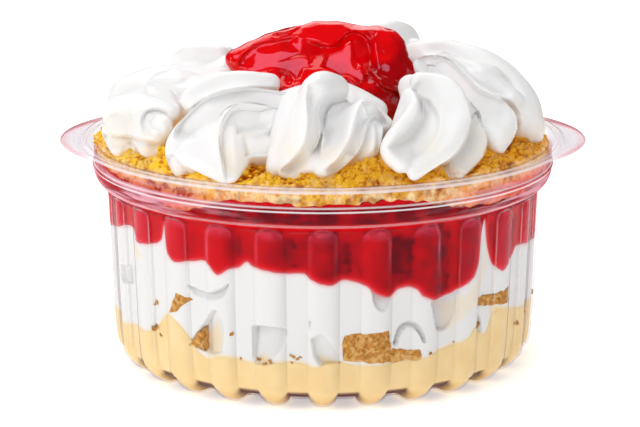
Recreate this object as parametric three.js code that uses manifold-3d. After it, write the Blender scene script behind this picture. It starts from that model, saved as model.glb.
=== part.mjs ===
// A layered milk-cake dessert in a clear fluted cup with two pull tabs: custard with
// sponge chunks, white cream, red fruit, a crumbly sponge, a ring of piped cream
// swirls and a glossy heap of red jam on top.
// Millimetres, +Z up, front at -Y. The origin is the middle of the base.
import * as THREE from 'three';
import { ConvexGeometry } from 'three/addons/geometries/ConvexGeometry.js';
import { mergeVertices } from 'three/addons/utils/BufferGeometryUtils.js';
import Module from 'manifold-3d';

const wasm = await Module();
wasm.setup();

// ---- Driving dimensions ----
const GAP = 0.3; // between pieces that touch
const GROWTH = 0.5; // added to a coarse ball's radius so that its flats clear GAP
const WALL = 0.8; // of the cup
const FLUTES = 26;
const PITCH = 360 / FLUTES;
const WIDE_SHARE = 0.3; // half of a wide flute, as a share of the pitch
const FLUTE_SAMPLES = [-WIDE_SHARE, -0.12, 0.12, WIDE_SHARE];
const EVEN_COUNT = 2 * FLUTES; // segments of a ring that isn't fluted
const WELD = 1e-4; // points closer than this are one

// Outer skin of the cup from the base to below the flange, as [radius, height]:
// along the crest of a wide flute, and along the narrow strip between two.
const CREST = [
  [38, 0], [41.5, 0], [44.8, 0.2], [48.6, 3.1], [50.4, 9],
  [51.7, 40.5], [52.1, 42.6], [53.7, 44.4], [54.4, 46.4], [54.4, 52.6],
];
const STRIP = [
  [38, 0], [40.4, 1.4], [43.4, 1.7], [47.3, 4.1], [49.4, 9],
  [50.7, 39], [51.5, 41.4], [53.7, 44.4], [54.4, 46.4], [54.4, 52.6],
];
const SIDE_RADIUS = 50; // of the fluted side, about

const FLANGE_RADIUS = 57.8;
const FLANGE_Z = [52.8, 53.5]; // under side and top
const BEAD = { radius: 56.6, half: 0.6, height: 0.5 };
const TAB = { reach: 4.7, half: 27, sharpness: 1.3 }; // half in degrees

// Heights of the layers' edges on the wall, as [azimuth, height], from left to right.
// The back of the cup repeats the front.
const CUSTARD_TOP = [
  [-90, 17], [-71, 13.3], [-50, 13.4], [-25, 11.3], [-4, 12], [15, 11], [33, 13],
  [41, 14.6], [49, 13.2], [55, 19], [65, 17.3], [90, 18],
];
const FRUIT_BOTTOM = [
  [-90, 33.5], [-61, 36.5], [-43, 32.4], [-35, 33.4], [-28, 31.5], [-20, 34.8],
  [-11, 32.8], [4, 30.6], [11, 30], [18, 27.2], [23, 28.8], [31, 25.1], [40, 27.2],
  [46, 31.8], [57, 28.2], [69, 30.9], [90, 30.6],
];
const FRUIT_TOP = [[-90, 46.4], [-50, 46.9], [0, 48.7], [50, 47.1], [90, 46.6]];
// Where a layer's face levels out, and how much of its edge's unevenness it keeps there.
const INNER_RING = { radius: 30, count: FLUTES, share: 0.35 };
const LEVEL = { custard: 12.5, fruitBottom: 32, fruitTop: 48 };

// Chunks of sponge that show at the wall: middle and width in degrees,
// bottom, top and depth in mm.
const CHUNKS = {
  front: [11.6, 12.6, 11.3, 17.4, 10],
  front_low: [22.4, 7.4, 11.4, 14.3, 8],
  left: [-38, 5.5, 13, 18, 7],
  left_high: [-40.3, 7, 20.4, 24.8, 6],
  right: [53, 16, 19.2, 22.8, 9],
  back: [172, 15, 12, 17.5, 10],
  back_left: [-135, 9, 14, 20, 8],
};
const CHUNK_REACH = 54; // radius past the wall, to which a chunk goes before it is cut
const CHUNK_LID = 38; // height that every chunk stays below
const CHUNK_SLOPE = 0.4; // half of the rise of a chunk's top towards the right

// The crumbly top as rings of [radius, height, share of the relief], and its relief
// as waves of [height, number round the ring, phase].
const SPONGE_RINGS = [[53.3, 52.4, 0], [51, 54.8, 0.6], [45, 56.4, 1]];
const SPONGE_TOP = 56.4;
const SPONGE_WAVES = [[0.9, 7, 0.7], [0.7, 11, 2.3], [0.4, 19, 0]];

// A ring of piped swirls. Each fin of a swirl is a fan of cream from a fat hinge to a
// thin crest, and all meet in its core. A ball is [x, y, z, radius], and it is coarser
// where it is thin. Its corners stand out a little, so that its flats don't shrink it.
const BALL = { fat: 3.4, swell: 1.12 };
const SWIRLS = {
  front: { core: [0, -30, 60, 10], fins: [
    { hinge: [-5.5, -34, 60, 5.5],
      crest: [[-10.5, -44, 55.5, 2.4], [-9.5, -41, 61, 2.8], [-7, -38, 69, 2.8]] },
    { hinge: [-5, -34, 60, 6],
      crest: [[-8.5, -47, 55.5, 1.6], [-3, -48, 63, 2], [-3, -44, 70, 2.4],
        [-1, -37, 72.5, 3.5], [2.5, -32, 71, 3.5]] },
    { hinge: [6, -32, 60, 6],
      crest: [[0, -49, 56.5, 2.2], [6, -49, 61, 1.8], [7.5, -46, 66, 2],
        [9.5, -40, 68, 2.6], [13, -33, 62.5, 3]] },
    { hinge: [9.5, -34, 57.5, 3.5],
      crest: [[7, -44, 58, 2], [10.5, -45, 60, 1.8], [11.5, -42, 64, 2]] },
    { hinge: [1, -28, 61, 7], crest: [[-9, -24, 66, 3], [2, -18.5, 68, 3], [12, -22, 64, 3]] },
  ] },
  front_left: { core: [-22, -29, 60, 10], fins: [
    { hinge: [-22.5, -34, 60, 7],
      crest: [[-31.5, -41, 55, 2.4], [-33, -40, 58.5, 2.2], [-31.5, -38, 62, 2.2],
        [-26.5, -36, 67, 2.2], [-20.5, -34, 70, 2.1], [-8, -33, 68.5, 2]] },
    { hinge: [-23, -37, 60.5, 6],
      crest: [[-31, -43, 58, 2], [-26.5, -45, 56.5, 2], [-21.5, -48, 54.5, 1.8]] },
    { hinge: [-18, -40, 59, 3.6],
      crest: [[-20, -49, 55, 1.6], [-21, -46, 65, 2], [-19, -43, 68, 2],
        [-10.5, -38, 66.5, 1.8]] },
    { hinge: [-13.5, -38, 57, 3.5], crest: [[-16, -43, 60, 2.4], [-11, -42, 60, 2.4]] },
    { hinge: [-20, -23, 63, 7],
      crest: [[-30, -24, 67, 2.6], [-23, -20, 70.5, 2.4], [-12, -17, 69.5, 2.4]] },
  ] },
  front_right: { core: [27, -25, 60, 10], fins: [
    { hinge: [19, -35, 60.5, 4.5],
      crest: [[19.5, -33, 69.5, 2.2], [20.5, -38, 67.5, 2], [15, -46, 62, 2],
        [14.5, -48, 59.5, 2], [17, -49, 57.5, 2]] },
    { hinge: [25, -31, 61.5, 7],
      crest: [[22, -24, 71, 2.5], [28, -28, 71, 2.2], [31, -35, 68, 1.9],
        [30.5, -40, 64, 1.8], [27.5, -45, 60, 1.8], [20, -50, 55.5, 1.5]] },
    { hinge: [29, -31, 57.5, 5],
      crest: [[32.5, -27, 62.5, 2], [35.5, -30, 60, 1.8], [34.5, -34, 56.5, 1.8],
        [29.5, -42, 54, 1.8]] },
    { hinge: [26, -22, 61, 7], crest: [[20, -19, 69, 3], [24, -14, 66, 3], [33, -14, 62, 3]] },
  ] },
  right: { core: [35, 0, 60, 12], fins: [
    { hinge: [37.5, 2, 59, 9],
      crest: [[23.5, 18, 68.5, 5], [30, 16, 69, 5], [37, 12, 68, 5], [43, 7, 65, 5],
        [46.5, 0, 61, 5], [47.5, -8, 57, 5]] },
    { hinge: [34.5, -8, 61, 7],
      crest: [[22.5, -6, 71, 2.2], [27.5, -7, 72, 1.8], [36, -15, 67.5, 1.6],
        [43, -24, 62.5, 1.6], [40, -29, 57, 1.8]] },
    { hinge: [33, 14, 59, 8], crest: [[39, 20, 59, 4], [29, 27, 61, 4]] },
  ] },
  left: { core: [-35, 0, 59, 11], fins: [
    { hinge: [-37.5, 2, 59, 9],
      crest: [[-47, -2, 59.5, 4.5], [-46, 3, 62.5, 5], [-38, 9, 64, 5], [-25, 10, 64, 4.5]] },
    { hinge: [-40, -8, 60, 7.5],
      crest: [[-49, -12, 59.5, 2.4], [-48, -13, 63.5, 2.4], [-39, -19, 65, 2],
        [-34.5, -22, 63.5, 2]] },
    { hinge: [-41, -12, 58, 6.5], crest: [[-37, -26, 61, 3], [-39.5, -28, 56.5, 2.5]] },
    { hinge: [-41, -12, 58, 6.5], crest: [[-48, -16, 58, 3.5], [-46, -20, 55.5, 3.4]] },
    { hinge: [-33, -4, 60, 8], crest: [[-24.5, 0, 66, 3.4], [-25, -11, 64, 3.2]] },
  ] },
};
// The back of the ring repeats three of the swirls, turned about Z and less tall.
const BACK_SWIRLS = {
  back_left: ['front_right', 188, 0.9],
  back: ['front_left', 232, 0.8],
  back_right: ['front', 154, 1],
};
const SWIRL_FOOT = 55; // height that a less tall swirl shrinks towards

// The jam, made of fans like the cream's.
const JAM = { core: [0, 0, 65, 15], fins: [
  { hinge: [0, -2, 66, 13], crest: [[-19.6, -6, 72.4, 3.4], [-10, -4, 75, 4.6],
    [2.4, -2, 76.4, 5.2], [13.8, -2, 74.8, 5.4], [15, -6, 69.5, 5.6], [13, -11, 64, 6]] },
  { hinge: [0, -2, 66, 13], crest: [[-13, -9, 65, 6.5], [1, -13, 65, 6], [13, -11, 64, 6.5]] },
  { hinge: [0, 3, 66, 13], crest: [[-13, 9, 66, 6.5], [0, 10, 71, 6.5], [13, 9, 66, 6.5]] },
] };

// The space round the cup's rim that the swirls stay clear of: radii and heights.
const CLEAR_OF_RIM = { inner: 53, outer: 70, low: 40, high: 54.4 };

// ---- Small helpers ----
const radians = THREE.MathUtils.degToRad;

/** A point at an azimuth in degrees, 0 at the front and growing to the right. */
function polar(azimuth, radius, height) {
  const a = radians(azimuth);
  return new THREE.Vector3(radius * Math.sin(a), -radius * Math.cos(a), height);
}

/** Smooth height between the [azimuth, height] pairs of a layer's edge. */
function edgeHeight(pairs, azimuth) {
  let az = ((((azimuth + 180) % 360) + 360) % 360) - 180;
  if (az > 90) az = 180 - az;
  if (az < -90) az = -180 - az;
  const next = Math.max(1, pairs.findIndex(([a]) => a >= az));
  const [a0, h0] = pairs[next - 1];
  const [a1, h1] = pairs[next];
  const t = THREE.MathUtils.clamp((az - a0) / (a1 - a0), 0, 1);
  return h0 + (h1 - h0) * (1 - Math.cos(Math.PI * t)) / 2;
}

/** The azimuths round the cup with how far each lies towards a narrow strip, 0 to 1. */
function fluteStations() {
  return Array.from({ length: FLUTES }, (_, i) => FLUTE_SAMPLES.map((s) => (
    { azimuth: (i + s) * PITCH, strip: Math.min(1, (s / WIDE_SHARE) ** 2) }))).flat();
}
const STATIONS = fluteStations();

/** The cup's profile at a station, moved inwards along its normals. */
function wallProfile(strip, inset) {
  const outer = CREST.map(([r, z], i) => new THREE.Vector2(
    THREE.MathUtils.lerp(r, STRIP[i][0], strip), THREE.MathUtils.lerp(z, STRIP[i][1], strip)));
  const normal = (a, b) => new THREE.Vector2(a.y - b.y, b.x - a.x).normalize();
  return outer.map((p, i) => {
    const before = normal(i ? outer[i - 1] : new THREE.Vector2(0, 0), p);
    const after = i < outer.length - 1 ? normal(p, outer[i + 1]) : before;
    const mean = before.clone().add(after).normalize();
    return p.clone().addScaledVector(mean, inset / mean.dot(after));
  });
}

/** Radius of a wall profile at a height. */
function radiusAt(profile, height) {
  const next = Math.max(1, profile.findIndex((p) => p.y >= height));
  const [a, b] = [profile[next - 1], profile[next]];
  return THREE.MathUtils.lerp(a.x, b.x, (height - a.y) / (b.y - a.y));
}

/** A closed body from rings of points. A ring may have a multiple of its neighbour's
 *  count, and the first and last may be single points. Quads split along their shorter
 *  diagonal, so that facing skins split alike. */
function ringBody(rings) {
  const points = rings.flat();
  const starts = [];
  rings.reduce((sum, ring) => (starts.push(sum), sum + ring.length), 0);
  const index = [];
  for (let r = 0; r < rings.length - 1; r += 1) {
    const [n, m] = [rings[r].length, rings[r + 1].length];
    const a = (i) => starts[r] + (i % n);
    const b = (i) => starts[r + 1] + (i % m);
    const steps = Math.max(n, m);
    const [da, db] = [n / steps, m / steps];
    for (let i = 0; i < steps; i += 1) {
      const [a0, a1] = [Math.round(i * da), Math.round((i + 1) * da)];
      const [b0, b1] = [Math.round(i * db), Math.round((i + 1) * db)];
      const [p, q, u, v] = [a(a0), a(a1), b(b0), b(b1)];
      const lean = points[q].distanceTo(points[u]) < points[p].distanceTo(points[v]);
      if (p !== q) index.push(p, q, lean ? u : v);
      if (u !== v) index.push(lean ? q : p, v, u);
    }
  }
  const geometry = new THREE.BufferGeometry();
  geometry.setAttribute('position', new THREE.Float32BufferAttribute(
    points.flatMap((p) => p.toArray()), 3));
  geometry.setIndex(index);
  return geometry;
}

/** A closed geometry as a solid that can be joined and cut. */
function toSolid(geometry) {
  const bare = geometry.clone();
  bare.deleteAttribute('normal');
  bare.deleteAttribute('uv');
  const merged = mergeVertices(bare, WELD);
  return new wasm.Manifold(new wasm.Mesh({
    numProp: 3,
    vertProperties: new Float32Array(merged.attributes.position.array),
    triVerts: new Uint32Array(merged.index.array),
  }));
}

/** The largest body of a solid, as a geometry. */
function toGeometry(solid) {
  const [body] = solid.decompose().sort((a, b) => b.volume() - a.volume());
  const mesh = body.getMesh();
  const geometry = new THREE.BufferGeometry();
  geometry.setAttribute('position', new THREE.Float32BufferAttribute(mesh.vertProperties, 3));
  geometry.setIndex([...mesh.triVerts]);
  return geometry;
}

/** One ring of points at every station, for a profile that `at` gives as [r, z]. */
function stationRing(at) {
  return STATIONS.map((station) => {
    const [radius, height] = at(station);
    return polar(station.azimuth, radius, height);
  });
}

/** An even ring of `count` points. */
function evenRing(count, at) {
  return Array.from({ length: count }, (_, i) => {
    const azimuth = i * 360 / count - WIDE_SHARE * PITCH;
    const [radius, height] = at(azimuth);
    return polar(azimuth, radius, height);
  });
}

const point = (height) => [new THREE.Vector3(0, 0, height)];

/** How far the flange reaches at an azimuth, with the two tabs at the sides. */
function flangeReach(azimuth) {
  const fromTab = Math.abs(Math.abs(((azimuth % 180) + 180) % 180 - 90)) / TAB.half;
  const bump = Math.max(0, 1 - fromTab ** 2) ** TAB.sharpness;
  return FLANGE_RADIUS + TAB.reach * bump;
}

/** The soft levelling of a layer's face from the wall to the middle. */
function innerRing(pairs, level, lift = 0) {
  return evenRing(INNER_RING.count, (azimuth) => {
    const wall = edgeHeight(pairs, azimuth);
    return [INNER_RING.radius, THREE.MathUtils.lerp(level, wall, INNER_RING.share) + lift];
  });
}

// ---- The cup ----
function cup() {
  const skin = (inset) => CREST.map((_, i) => (
    stationRing(({ strip }) => wallProfile(strip, inset)[i].toArray())));
  const outer = skin(0);
  const inner = skin(WALL);
  const [under, top] = FLANGE_Z;
  const collarInside = CREST.at(-1)[0] - WALL;
  const flange = [
    stationRing(({ azimuth }) => [flangeReach(azimuth), under]),
    stationRing(({ azimuth }) => [flangeReach(azimuth), top]),
    evenRing(EVEN_COUNT, () => [BEAD.radius + BEAD.half, top]),
    evenRing(EVEN_COUNT, () => [BEAD.radius, top + BEAD.height]),
    evenRing(EVEN_COUNT, () => [BEAD.radius - BEAD.half, top]),
    stationRing(() => [collarInside, top]),
  ];
  return ringBody([point(0), ...outer, ...flange, ...inner.reverse().slice(1), point(WALL)]);
}

// ---- The layers in the cup ----
const INSET = WALL + GAP;
const HEEL_POINTS = [0, 5]; // of the wall's profile, those that lie in the custard
const COLLAR_POINTS = [5, 8]; // and those that lie in the fruit

/** A ring on the food's side of the wall at the height that `edge` gives. */
function wallRing(edge, lift = 0) {
  return stationRing(({ azimuth, strip }) => {
    const height = edge(azimuth) + lift;
    return [radiusAt(wallProfile(strip, INSET), height), height];
  });
}

/** The rings where the wall's profile bends, from one of its points to another. */
function bendRings([from, to]) {
  return CREST.slice(from, to).map((_, i) => (
    stationRing(({ strip }) => wallProfile(strip, INSET)[from + i].toArray())));
}

const custardTop = (azimuth) => edgeHeight(CUSTARD_TOP, azimuth);
const fruitBottom = (azimuth) => edgeHeight(FRUIT_BOTTOM, azimuth);
const fruitTop = (azimuth) => edgeHeight(FRUIT_TOP, azimuth);

function custard() {
  return ringBody([
    point(INSET), ...bendRings(HEEL_POINTS), wallRing(custardTop),
    innerRing(CUSTARD_TOP, LEVEL.custard), point(LEVEL.custard),
  ]);
}

function creamLayer() {
  return ringBody([
    point(LEVEL.custard + GAP), innerRing(CUSTARD_TOP, LEVEL.custard, GAP),
    wallRing(custardTop, GAP), wallRing(fruitBottom),
    innerRing(FRUIT_BOTTOM, LEVEL.fruitBottom), point(LEVEL.fruitBottom),
  ]);
}

function fruitLayer() {
  return ringBody([
    point(LEVEL.fruitBottom + GAP), innerRing(FRUIT_BOTTOM, LEVEL.fruitBottom, GAP),
    wallRing(fruitBottom, GAP), ...bendRings(COLLAR_POINTS), wallRing(fruitTop),
    innerRing(FRUIT_TOP, LEVEL.fruitTop), point(LEVEL.fruitTop),
  ]);
}

/** The whole inside of the cup below the fruit, that the sponge chunks are cut to. */
function belowFruit() {
  return ringBody([
    point(INSET), ...bendRings(HEEL_POINTS), wallRing(() => CHUNK_LID), point(CHUNK_LID)]);
}

/** A block of sponge against the wall, grown on every side. */
function chunkBlock([azimuth, width, low, high, depth], growth = 0) {
  const inner = SIDE_RADIUS - depth - growth;
  const half = width / 2 + THREE.MathUtils.radToDeg(growth / inner);
  const corners = [-1, 1].flatMap((side) => [inner, CHUNK_REACH].flatMap((radius) => [
    polar(azimuth + side * half, radius, low - growth),
    polar(azimuth + side * half, radius, high + side * CHUNK_SLOPE + growth)]));
  return toSolid(new ConvexGeometry(corners));
}

/** Relief of the crumbly top. */
function lumps(azimuth) {
  return SPONGE_WAVES.reduce((sum, [height, count, phase]) => (
    sum + height * Math.sin(count * radians(azimuth) + phase)), 0);
}

/** The crumbly top. Its relief turns a little from ring to ring. */
function topSponge() {
  const [[edge]] = SPONGE_RINGS;
  return ringBody([
    point(LEVEL.fruitTop + GAP), innerRing(FRUIT_TOP, LEVEL.fruitTop, GAP),
    evenRing(EVEN_COUNT, (azimuth) => [edge, fruitTop(azimuth) + GAP]),
    ...SPONGE_RINGS.map(([radius, height, share]) => evenRing(EVEN_COUNT, (azimuth) => (
      [radius, height + share * lumps(azimuth + radius)]))),
    evenRing(INNER_RING.count, () => [INNER_RING.radius, SPONGE_TOP]), point(SPONGE_TOP),
  ]);
}

// ---- The cream and the jam on top ----
/** The corners of a coarse ball: few for a thin crest, more for a fat hinge. */
function ballPoints([x, y, z, radius], growth) {
  const size = radius * BALL.swell + growth;
  const Shape = radius > BALL.fat ? THREE.IcosahedronGeometry : THREE.OctahedronGeometry;
  const ball = new Shape(size);
  const { position } = ball.translate(x, y, z).attributes;
  return Array.from({ length: position.count }, (_, i) => (
    new THREE.Vector3().fromBufferAttribute(position, i)));
}

/** A core and its fans joined into one solid. A fan is wedges from hinge to crest. */
function joinedFans({ core, fins }, growth = 0) {
  const hull = (balls) => toSolid(
    new ConvexGeometry(balls.flatMap((ball) => ballPoints(ball, growth))));
  const wedges = fins.flatMap(({ hinge, crest }) => (
    crest.slice(1).map((ball, i) => hull([hinge, crest[i], ball]))));
  return wedges.reduce((whole, wedge) => whole.add(wedge), hull([core]));
}

/** A swirl turned about Z and shrunk towards its foot. */
function turned({ core, fins }, turn, height) {
  const axis = new THREE.Vector3(0, 0, 1);
  const move = ([x, y, z, radius]) => {
    const place = new THREE.Vector3(x, y, z).applyAxisAngle(axis, radians(turn));
    return [place.x, place.y, SWIRL_FOOT + (place.z - SWIRL_FOOT) * height, radius];
  };
  return {
    core: move(core),
    fins: fins.map(({ hinge, crest }) => ({ hinge: move(hinge), crest: crest.map(move) })),
  };
}

/** The ring-shaped space round the cup's rim. */
function rimSpace() {
  const { inner, outer, low, high } = CLEAR_OF_RIM;
  const section = [[inner, low], [outer, low], [outer, high], [inner, high], [inner, low]];
  const profile = section.map(([r, z]) => new THREE.Vector2(r, z));
  return toSolid(new THREE.LatheGeometry(profile, EVEN_COUNT).rotateX(Math.PI / 2));
}

// ---- Materials ----
const look = (color, roughness, extra = {}) => new THREE.MeshStandardMaterial(
  { color, roughness, metalness: 0, ...extra });
const MATERIALS = {
  clear: look(0xf4f6f8, 0.05, { transparent: true, opacity: 0.25 }),
  custard: look(0xefd596, 0.4),
  cream: look(0xf8f6f3, 0.5),
  fruit: look(0xb3081c, 0.2),
  crumb: look(0xb87a24, 0.9),
  sponge: look(0xe2a238, 0.9),
  jam: look(0xc4060c, 0.08),
};

// ---- The whole ----
function addNode(group, name, geometry, material) {
  const flat = geometry.toNonIndexed();
  flat.computeVertexNormals();
  const mesh = new THREE.Mesh(mergeVertices(flat, WELD), material);
  mesh.name = name;
  group.add(mesh);
}

function filling() {
  const group = new THREE.Group();
  const room = toSolid(belowFruit());
  const holes = Object.values(CHUNKS).map((chunk) => chunkBlock(chunk, GAP));
  const cutByChunks = (geometry) => toGeometry(
    holes.reduce((body, hole) => body.subtract(hole), toSolid(geometry)));
  addNode(group, 'custard', cutByChunks(custard()), MATERIALS.custard);
  addNode(group, 'cream_layer', cutByChunks(creamLayer()), MATERIALS.cream);
  for (const [name, chunk] of Object.entries(CHUNKS)) {
    const body = toGeometry(chunkBlock(chunk).intersect(room));
    addNode(group, `sponge_chunk_${name}`, body, MATERIALS.crumb);
  }
  addNode(group, 'fruit_layer', fruitLayer(), MATERIALS.fruit);
  addNode(group, 'top_sponge', topSponge(), MATERIALS.sponge);
  return group;
}

function topping() {
  const group = new THREE.Group();
  const spongeSpace = toSolid(topSponge().translate(0, 0, GAP));
  const jam = joinedFans(JAM).subtract(spongeSpace);
  const swirls = { ...SWIRLS };
  for (const [name, [model, turn, height]] of Object.entries(BACK_SWIRLS)) {
    swirls[name] = turned(SWIRLS[model], turn, height);
  }
  addNode(group, 'jam', toGeometry(jam), MATERIALS.jam);
  let taken = joinedFans(JAM, GROWTH).add(spongeSpace).add(rimSpace());
  for (const [name, swirl] of Object.entries(swirls)) {
    const body = joinedFans(swirl).subtract(taken);
    addNode(group, `cream_swirl_${name}`, toGeometry(body), MATERIALS.cream);
    taken = taken.add(joinedFans(swirl, GROWTH));
  }
  return group;
}

const dessert = new THREE.Group();
addNode(dessert, 'cup', cup(), MATERIALS.clear);
dessert.add(filling(), topping());

export default dessert;
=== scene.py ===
"""A layered milk-cake dessert in a clear fluted cup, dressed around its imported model.

Sizes in the tables are millimetres, as in the part's source. Azimuth 0 is the front,
at -Y, and grows to the right. A finished mesh is in metres.
"""
import bisect
import math
import random

import bmesh
import bpy
from bpy.props import FloatProperty, FloatVectorProperty, IntProperty, PointerProperty
from mathutils import Matrix, Vector, noise
from mathutils.bvhtree import BVHTree


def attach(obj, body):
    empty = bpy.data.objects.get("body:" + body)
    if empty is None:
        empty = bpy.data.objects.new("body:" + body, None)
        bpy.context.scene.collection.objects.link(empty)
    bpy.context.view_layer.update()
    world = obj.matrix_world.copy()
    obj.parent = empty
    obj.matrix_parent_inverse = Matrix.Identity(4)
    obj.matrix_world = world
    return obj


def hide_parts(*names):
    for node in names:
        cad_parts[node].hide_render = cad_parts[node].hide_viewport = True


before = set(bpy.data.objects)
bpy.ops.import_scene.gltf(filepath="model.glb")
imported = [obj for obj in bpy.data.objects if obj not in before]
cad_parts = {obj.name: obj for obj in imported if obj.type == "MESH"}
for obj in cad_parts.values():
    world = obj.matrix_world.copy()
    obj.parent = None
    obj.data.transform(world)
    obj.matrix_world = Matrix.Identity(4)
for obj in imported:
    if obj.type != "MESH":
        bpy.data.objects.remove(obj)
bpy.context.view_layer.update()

bl_info = {
    "name": "Layered Cup Dessert",
    "version": (1, 0, 0),
    "blender": (4, 5, 0),
    "location": "View3D > Sidebar > Dessert",
    "description": "Builds a layered milk-cake dessert in a clear fluted cup",
    "category": "Object",
}

MM = 0.001
BODY = "root"

# ---- The cup, as in the part's source ----
FLUTES = 26
PITCH = 360 / FLUTES
WIDE_SHARE = 0.3  # half of a wide flute, as a share of the pitch
COLLAR_RADIUS = 54.4
COLLAR = [(COLLAR_RADIUS, height) for height in (46.4, 47.4, 48.2, 49, 50, 52.6)]
# The wall's profile along the middle of a wide flute and along a narrow strip.
CREST = [(38, 0), (41.5, 0), (44.8, 0.2), (48.6, 3.1), (50.4, 9),
         (51.7, 40.5), (52.1, 42.6), (53.7, 44.4)] + COLLAR
STRIP = [(38, 0), (40.4, 1.4), (43.4, 1.7), (47.3, 3.8), (49.3, 9),
         (50.6, 39), (51.1, 42.2), (53.5, 44.5)] + COLLAR
ROUNDNESS = 0.97  # of a wide flute's section, where 1 is a half circle's
FULL_ROUND = 1 - math.sqrt(1 - ROUNDNESS ** 2)
ARCH = {"from": 39.4, "to": 43.2}  # heights between which a wide flute closes in an arch
FLUTED = {"foot": (4, 10), "head": (43.2, 43.8)}  # heights over which the flutes show and end
SIDE_RADIUS = 50.5  # the wall's, taken as one to unroll it
SNAP_RING = {"height": 48.2, "half": 0.5, "out": 0.4}
FLANGE_RADIUS = 57.8
FLANGE_Z = (52.8, 53.5)
FLANGE_EDGE = {"from": 0.94, "round": 0.12}  # where its rounding begins, and how round it is
BEAD = {"radius": 56.6, "half": 0.6, "height": 0.5}
FINE_RING = {"radius": 55.2, "half": 0.25, "height": 0.18}
RIDGE_STEPS = 8  # over the bead and the fine ring
TAB = {"reach": 4.7, "half": 27, "sharpness": 1.3}
ROWS_PER_POINT = 6  # of the wall's profile
# Steps round each flute, so that its edges lie on steps, and rows up the wall.
STEPS_PER_FLUTE = {"cup": 20, "custard": 20, "cream": 30, "fruit": 20, "sponge": 26}
WALL_ROWS = {"custard": 26, "cream": 66, "fruit": 40, "sponge": 12}
ABOVE_COLLAR = FLANGE_Z[0] - 0.1
FLANGE_HIGHLIGHTS = (56.1, 57.1)  # radii of the flange's painted highlights, two bright lines
# The collar's painted highlights, bright rings: height, half width, strength.
COLLAR_HIGHLIGHTS = [(48.8, 0.28, 0.6), (47.9, 0.3, 0.75), (44.3, 0.3, 0.35), (43.3, 0.2, 0.2)]
HEEL_HEIGHT = 9  # where the wall's curved foot ends
# Where the juice on the collar begins: azimuths to both sides, then heights.
JUICE = {"left": (-8, -50), "right": (18, 60), "low": (43, 44), "high": (52.6, 48.5)}

# ---- The layers' edges on the wall, as (azimuth, height); the back repeats the front ----
CUSTARD_TOP = [(-90, 15), (-74, 12.2), (-59, 13.2), (-52, 13.8), (-48.4, 17.2), (-45.4, 19.2),
               (-42.8, 19), (-39.8, 17.2), (-37.4, 14.6), (-35.2, 11.8), (-32.6, 10.8), (-27, 12),
               (-17.4, 11.1), (-8.5, 11.9), (-2.9, 11.3), (4, 12), (8.8, 11.1), (18.2, 11.3),
               (27.3, 11.6), (30.3, 12.4), (35.6, 13.2), (41.5, 14.4), (44, 16.2), (46, 15),
               (49.6, 14), (52, 18.2), (55, 18.8), (65, 16.8), (78, 15.2), (90, 16)]
FRUIT_BOTTOM = [
    (-90, 32.5), (-85.1, 33.0), (-73.1, 35.0), (-61.8, 37.2), (-58.9, 35.0), (-55.4, 34.5),
    (-49.9, 35.3), (-47.1, 36.7), (-46.2, 39.0), (-45.6, 41.0), (-45.1, 38.0), (-44.5, 34.4),
    (-41.5, 32.6), (-36.9, 33.2), (-32.7, 33.8), (-30.7, 33.3), (-27.7, 31.3), (-24.9, 32.8),
    (-22.1, 33.4), (-19.8, 34.9), (-18.5, 34.0), (-15.8, 33.5), (-11.6, 33.0), (-9.0, 32.7),
    (-4.8, 32.9), (-3.2, 31.7), (-0.7, 30.6), (2.6, 30.4), (4.7, 31.3), (7.7, 31.0),
    (11.0, 30.0), (13.6, 27.9), (17.5, 26.9), (19.7, 28.6), (22.5, 28.8), (24.8, 28.2),
    (26.2, 26.5), (30.1, 25.1), (34.2, 25.5), (38.5, 26.8), (42.6, 28.9), (44.6, 32.4),
    (45.2, 37.5), (45.6, 41.8), (46.9, 41.5), (47.8, 37.0), (48.7, 34.1), (50.6, 30.6),
    (54.4, 28.2), (57.9, 29.2), (61.8, 30.4), (63.9, 32.0), (69.3, 31.7), (77.9, 30.2),
    (90, 31.4)]
FRUIT_TOP = [(-90, 50.4), (-75, 50.6), (-62, 49.8), (-50, 48.2), (-44, 46.4), (-38, 45.8),
             (-31, 46.8), (-26, 48.8), (-18, 49.9), (0, 49.3), (16, 50), (24, 49.2), (32, 47),
             (45, 46.2), (60, 46.4), (75, 46.8), (90, 48.4)]
LEVEL = {"custard": 12.5, "fruit_bottom": 32, "fruit_top": 48, "sponge_side": 46}
INNER_RADIUS = 30  # where a layer's face levels out
# Of a layer's hidden face: radius, and how far its height still follows the edge's.
FACE_ROWS = [(40, 0.6), (INNER_RADIUS, 0.35), (15, 0.1), (0, 0)]
CHUNK_ROOM = 1.6  # how deep the layers make room for the chunks
FOOT_SHADE = {"radius": (47.9, 46.6), "height": (5.5, 3.8)}  # where the painted shadow at the custard's foot lies, under the narrow strips
BLUSH_FROM = 24  # the fruit's edge lies above this height
FRUIT_NEAR = 4.0  # the farthest that a distance to the fruit's edge is measured
FRUIT_SHADE_MIDDLE = {"azimuth": 15, "spread": 45}  # where the painted shade on the sauce is deepest

# Chunks of sponge at the wall: the corners of the face on the wall, from the lower left
# round to the upper left, and the depth.
CHUNKS = {
    "front": ([(4.9, 12.2), (18.9, 11.2), (17.5, 19.5), (5.0, 18.6)], 10),
    "front_low": ([(17.7, 11.2), (26.8, 11.4), (26.4, 13.8), (18.0, 14.8)], 8),
    "left": ([(-38.6, 13.0), (-33.2, 12.6), (-33.3, 18.0), (-34.6, 17.0)], 7),
    "left_high": ([(-44.4, 19.8), (-41.6, 20.6), (-36.2, 24.6), (-41.4, 25.4)], 6),
    "right": ([(44.5, 21.4), (61.4, 18.9), (60.6, 23.2), (44.4, 23.4)], 9),
    "back": ([(165, 11.8), (179, 12.4), (178.5, 17.9), (165.4, 17.1)], 10),
    "back_left": ([(-139, 13.8), (-131, 14.2), (-130.6, 20.2), (-139.2, 19.6)], 8),
}

CHUNK_CUTS = 27
CHUNK_GRAIN = 1.7  # size of the unevenness of their edges

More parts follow.
